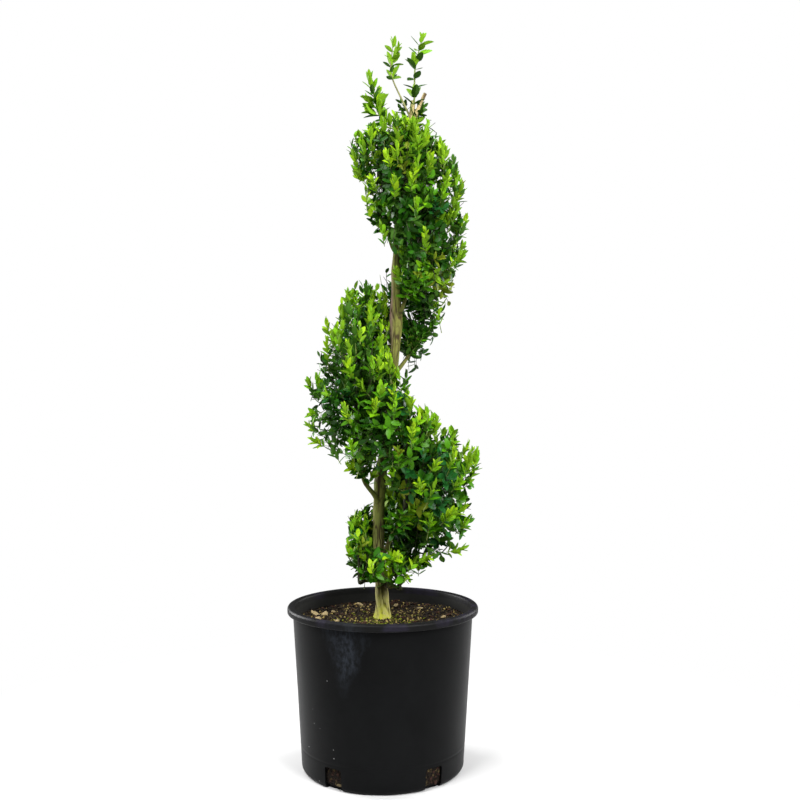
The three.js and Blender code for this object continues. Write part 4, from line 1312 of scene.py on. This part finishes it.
class TOPIARY_OT_wood(Operator):
    """Make the trunk, its cut leader and its boughs, with the bark's relief"""
    bl_idname = "topiary.wood"
    bl_label = "Trunk and boughs"

    def execute(self, context):
        settings = context.scene.topiary_wood
        self.trunk(settings)
        self.boughs(settings)
        self.cut_leader()
        return {"FINISHED"}

    def trunk(self, settings):
        """The trunk: taper, root lobes, swellings at old knots and the bark's relief, summed."""
        steps, sides = 520, 72
        height = np.linspace(0, TRUNK_TOP, steps)
        knot, added, spread = KNOTS.T[..., None]
        swell = (added * np.exp(-(((height - knot) / spread) ** 2))).sum(axis=0)
        a = 2 * np.pi * np.arange(sides) / sides
        groove = TRUNK["root_depth"] * TRUNK["flare"] * np.exp(-height / TRUNK["flare_height"])
        lobes = groove[:, None] * np.cos(TRUNK["roots"] * a)[None]
        depth = fissures(steps, sides, settings.seed)
        swollen = swell[:, None] * (0.7 + 0.6 * wavy(steps, sides, (30, 18), 8))
        thick = trunk_radius(height)[:, None]
        relief = settings.relief / MM * (depth - 0.75) * np.sqrt(thick / TRUNK["foot"])
        # Moss and pale bark at the foot, made paler still as painted light against its shade, and a mauve
        # flush up the left of the bare middle.
        moss = 1.5 * np.exp(-height / 19)[:, None] * (0.4 + 1.2 * wavy(steps, sides, (9, 9), 9))
        foot = np.exp(-((height / 95) ** 2))[:, None] * (0.6 + 0.6 * wavy(steps, sides, (20, 16), 10))
        left = np.clip(2.0 * np.cos(a - 0.2) - 1.1, 0, 1)[None] * (0.5 + wavy(steps, sides, (26, 14), 12))
        flush = 1.1 * left * np.exp(-(((height - 475) / 75) ** 2))[:, None]
        bark = wood_finish("corky_bark", settings.cork, settings.fissure, settings.moss)
        place_limbs("trunk_bark", trunk_centre(height)[None], (thick + lobes + swollen + relief)[None],
                    (depth, 0.9), bark, ["trunk"], 70, moss=(moss, 0.9), foot=(foot, 0.9), flush=(flush, 0.9))

    def boughs(self, settings):
        """The boughs: tapering limbs with a thicker root, that bend a little to and fro."""
        foot, bend, entry, root, *_ = bough_curves()
        steps, sides = 70, 20
        sway = np.sin(np.linspace(0, 3 * np.pi, steps))[None, :, None]
        sway = sway * np.random.default_rng(4).standard_normal((MASSES, 1, 3))
        along = np.linspace(0, 1, steps)
        radius = root[:, None] * (mixed(1, BOUGH["taper"], along) + 0.35 * np.exp(-along * 9))[None]
        depth = np.stack([fissures(steps, sides, 20 + i) for i in range(MASSES)])
        radii = radius[..., None] + 0.35 * settings.relief / MM * (depth - 0.75)
        bark = wood_finish("bough_bark", scaled(settings.cork, 0.85), settings.fissure, scale=1.6)
        place_limbs("boughs", bezier(foot, bend, entry, steps) + 0.8 * sway, radii, (depth, 1),
                    bark, BOUGH_NODES, 70)

    def cut_leader(self):
        """The stubs at the top: the second leader and the trunk's own end, stripped and pale."""
        steps, sides = 40, 16
        foot = trunk_centre(np.array([TRUNK_TOP - 48, TRUNK_TOP - 42]))
        tip = np.array([foot[0] + [25, -3, 60], trunk_centre(np.array([TRUNK_TOP]))[0] + [1, 0, 1]])
        paths = bezier(foot, (foot + tip) / 2 + [[-1.5, 0, 2], [0, 0, 0]], tip, steps)
        depth = np.stack([fissures(steps, sides, 50 + i) for i in range(2)])
        width = np.stack([np.linspace(3.4, 2.9, steps), np.linspace(4.6, 3.6, steps)])
        pale = wood_finish("cut_wood", (0.40, 0.31, 0.15), (0.12, 0.085, 0.04), scale=1.4)
        radii = width[..., None] + 0.5 * (depth - 0.8)
        place_limbs("cut_leader", paths, radii, (depth, 1), pale, ["trunk"], 60)


class TOPIARY_OT_foliage(Operator):
    """Grow the strand's and the loose shoots' twigs and leaves"""
    bl_idname = "topiary.foliage"
    bl_label = "Foliage"

    def execute(self, context):
        settings = context.scene.topiary_foliage
        green = grow_strand(settings)
        for grow in (grow_sprigs, grow_collar, grow_bough_shoots):
            grow(settings, green)
        self.leaves(settings, green)
        stems = mass_stems(24)
        root = bough_curves()[3] * BOUGH["taper"]
        green.twigs["woody"].append((stems, mixed(root[:, None], STEM["tip"], np.linspace(0, 1, 24)[None])))
        for name, groups in green.twigs.items():
            points, faces = joined([tubes(paths, radii, 6) for paths, radii in groups])
            points[:, 2] += TRUNK_FOOT
            skin = twig_finish(f"twig_{name}", *TWIG_TINTS[name])
            place_piece(f"twigs_{name}", points, faces, [skin], "foliage", FOLIAGE_NODES, crisp=60)
        return {"FINISHED"}

    def leaves(self, settings, green):
        """One piece for each kind of leaf; young ones are more cupped."""
        at, out, face, length, width, kind = (np.concatenate(column) for column in zip(*green.leaves))
        at = at + [0, 0, TRUNK_FOOT]
        count = len(at)
        rng = np.random.default_rng(settings.seed + 7)
        young_cups = mixed(0.15, 0.5, rng.random(count))
        cups = np.where(kind >= FRESH, young_cups, mixed(0.02, 0.34, rng.random(count)))
        curls = mixed(-0.06, 0.2, rng.random(count))
        old_under = leaf_finish("underside_grown", (0.045, 0.125, 0.010), 0.6, 0.12)
        young_under = leaf_finish("underside_young", (0.17, 0.34, 0.010), 0.55, 0.12)
        for number, name in enumerate(KINDS):
            if not (kind == number).any():
                continue
            old = number < FRESH
            chosen = [column[kind == number] for column in (at, out, face, length, width, cups, curls)]
            points, faces, sides = leaf_shapes(*chosen)
            blade = leaf_finish(f"leaf_{name}", LEAF_TINTS[name], 0.36 if old else 0.5, 0.14 if old else 0.08)
            place_piece(f"leaves_{name}", points, faces, [blade, old_under if old else young_under],
                        "foliage", FOLIAGE_NODES, kinds=sides, crisp=24)


class TOPIARY_OT_stage(Operator):
    """Lay the floor, hang the lights and set the camera"""
    bl_idname = "topiary.stage"
    bl_label = "Stage"

    def execute(self, context):
        settings = context.scene.topiary_stage
        self.floor(settings)
        self.world()
        for light in LIGHTS:
            self.light(settings.key, *light)
        camera = bpy.data.objects.new("camera", bpy.data.cameras.new("camera"))
        camera.data.lens = settings.lens
        camera.data.sensor_width = 36
        camera.data.clip_end = 60
        camera.location = (0.027, -1.57, 0.576)
        camera.rotation_euler = (math.pi / 2, 0, 0)
        context.scene.collection.objects.link(camera)
        context.scene.camera = camera
        context.scene.view_settings.view_transform = "Standard"
        context.scene.view_settings.look = "None"
        return {"FINISHED"}

    def floor(self, settings):
        """A round board, its rings closer together near the pot, just under the pot's foot."""
        rings, sides, low = 40, 96, -0.05
        radius = np.linspace(0, 1, rings)[1:, None] ** 2 * 1500
        a = 2 * np.pi * np.arange(sides) / sides
        ring = np.stack([radius * np.cos(a), radius * np.sin(a), low + 0 * radius * a], axis=-1)
        points = np.concatenate([ring.reshape(-1, 3), [[0, 0, low]]])
        step = np.arange(sides)
        after = np.roll(step, -1)
        row = (np.arange(rings - 2) * sides)[:, None]
        walls = np.stack([row + step, row + sides + step, row + sides + after, row + after], axis=-1)
        middle = np.stack([np.full(sides, len(points) - 1), step, after], axis=-1)
        place_piece("floor", points, [walls.reshape(-1, 4), middle], [floor_finish(settings.floor)], None)

    def world(self):
        """A white room: bright to look at, dimmer as a light."""
        world = bpy.data.worlds.new("studio")
        bpy.context.scene.world = world
        world.use_nodes = True
        tree = world.node_tree
        background = next(n for n in tree.nodes if n.type == "BACKGROUND")
        background.inputs["Color"].default_value = (1, 1, 1, 1)
        seen = node(tree, "LightPath").outputs["Is Camera Ray"]
        strength = node(tree, "MapRange", {"Value": seen, "To Min": 0.12, "To Max": 1.0})
        tree.links.new(strength.outputs[0], background.inputs["Strength"])

    def light(self, key, name, spot, aim, size, share):
        """A square soft light at a spot, facing another, with a share of the key's power."""
        data = bpy.data.lights.new(name, "AREA")
        data.size, data.energy = size, key * share
        lamp = bpy.data.objects.new(name, data)
        lamp.location = spot
        way = np.array(aim) - np.array(spot)
        flat = math.hypot(way[0], way[1])
        lamp.rotation_euler = (math.atan2(flat, -way[2]), 0, math.atan2(-way[0], way[1]))
        bpy.context.scene.collection.objects.link(lamp)


class TOPIARY_PT_sidebar(Panel):
    bl_idname = "TOPIARY_PT_sidebar"
    bl_label = "Potted spiral topiary"
    bl_space_type = "VIEW_3D"
    bl_region_type = "UI"
    bl_category = "Topiary"

    def draw(self, context):
        for group, operator in GROUPS:
            box = self.layout.box()
            settings = getattr(context.scene, group)
            for name in settings.__annotations__:
                box.prop(settings, name)
            box.operator(operator)


GROUPS = (
    ("topiary_stage", "topiary.stage"),
    ("topiary_pot", "topiary.pot"),
    ("topiary_soil", "topiary.soil"),
    ("topiary_wood", "topiary.wood"),
    ("topiary_foliage", "topiary.foliage"),
)
SETTINGS = (StageSettings, PotSettings, SoilSettings, WoodSettings, FoliageSettings)
CLASSES = (*SETTINGS, TOPIARY_OT_stage, TOPIARY_OT_pot, TOPIARY_OT_soil, TOPIARY_OT_wood,
           TOPIARY_OT_foliage, TOPIARY_PT_sidebar)


def register():
    for made in CLASSES:
        bpy.utils.register_class(made)
    for (name, _), kind in zip(GROUPS, SETTINGS):
        setattr(bpy.types.Scene, name, PointerProperty(type=kind))


def unregister():
    for name, _ in GROUPS:
        delattr(bpy.types.Scene, name)
    for made in reversed(CLASSES):
        bpy.utils.unregister_class(made)


def main():
    register()
    bpy.ops.topiary.stage()
    bpy.ops.topiary.pot()
    bpy.ops.topiary.soil()
    bpy.ops.topiary.wood()
    bpy.ops.topiary.foliage()


if __name__ == "__main__":
    main()
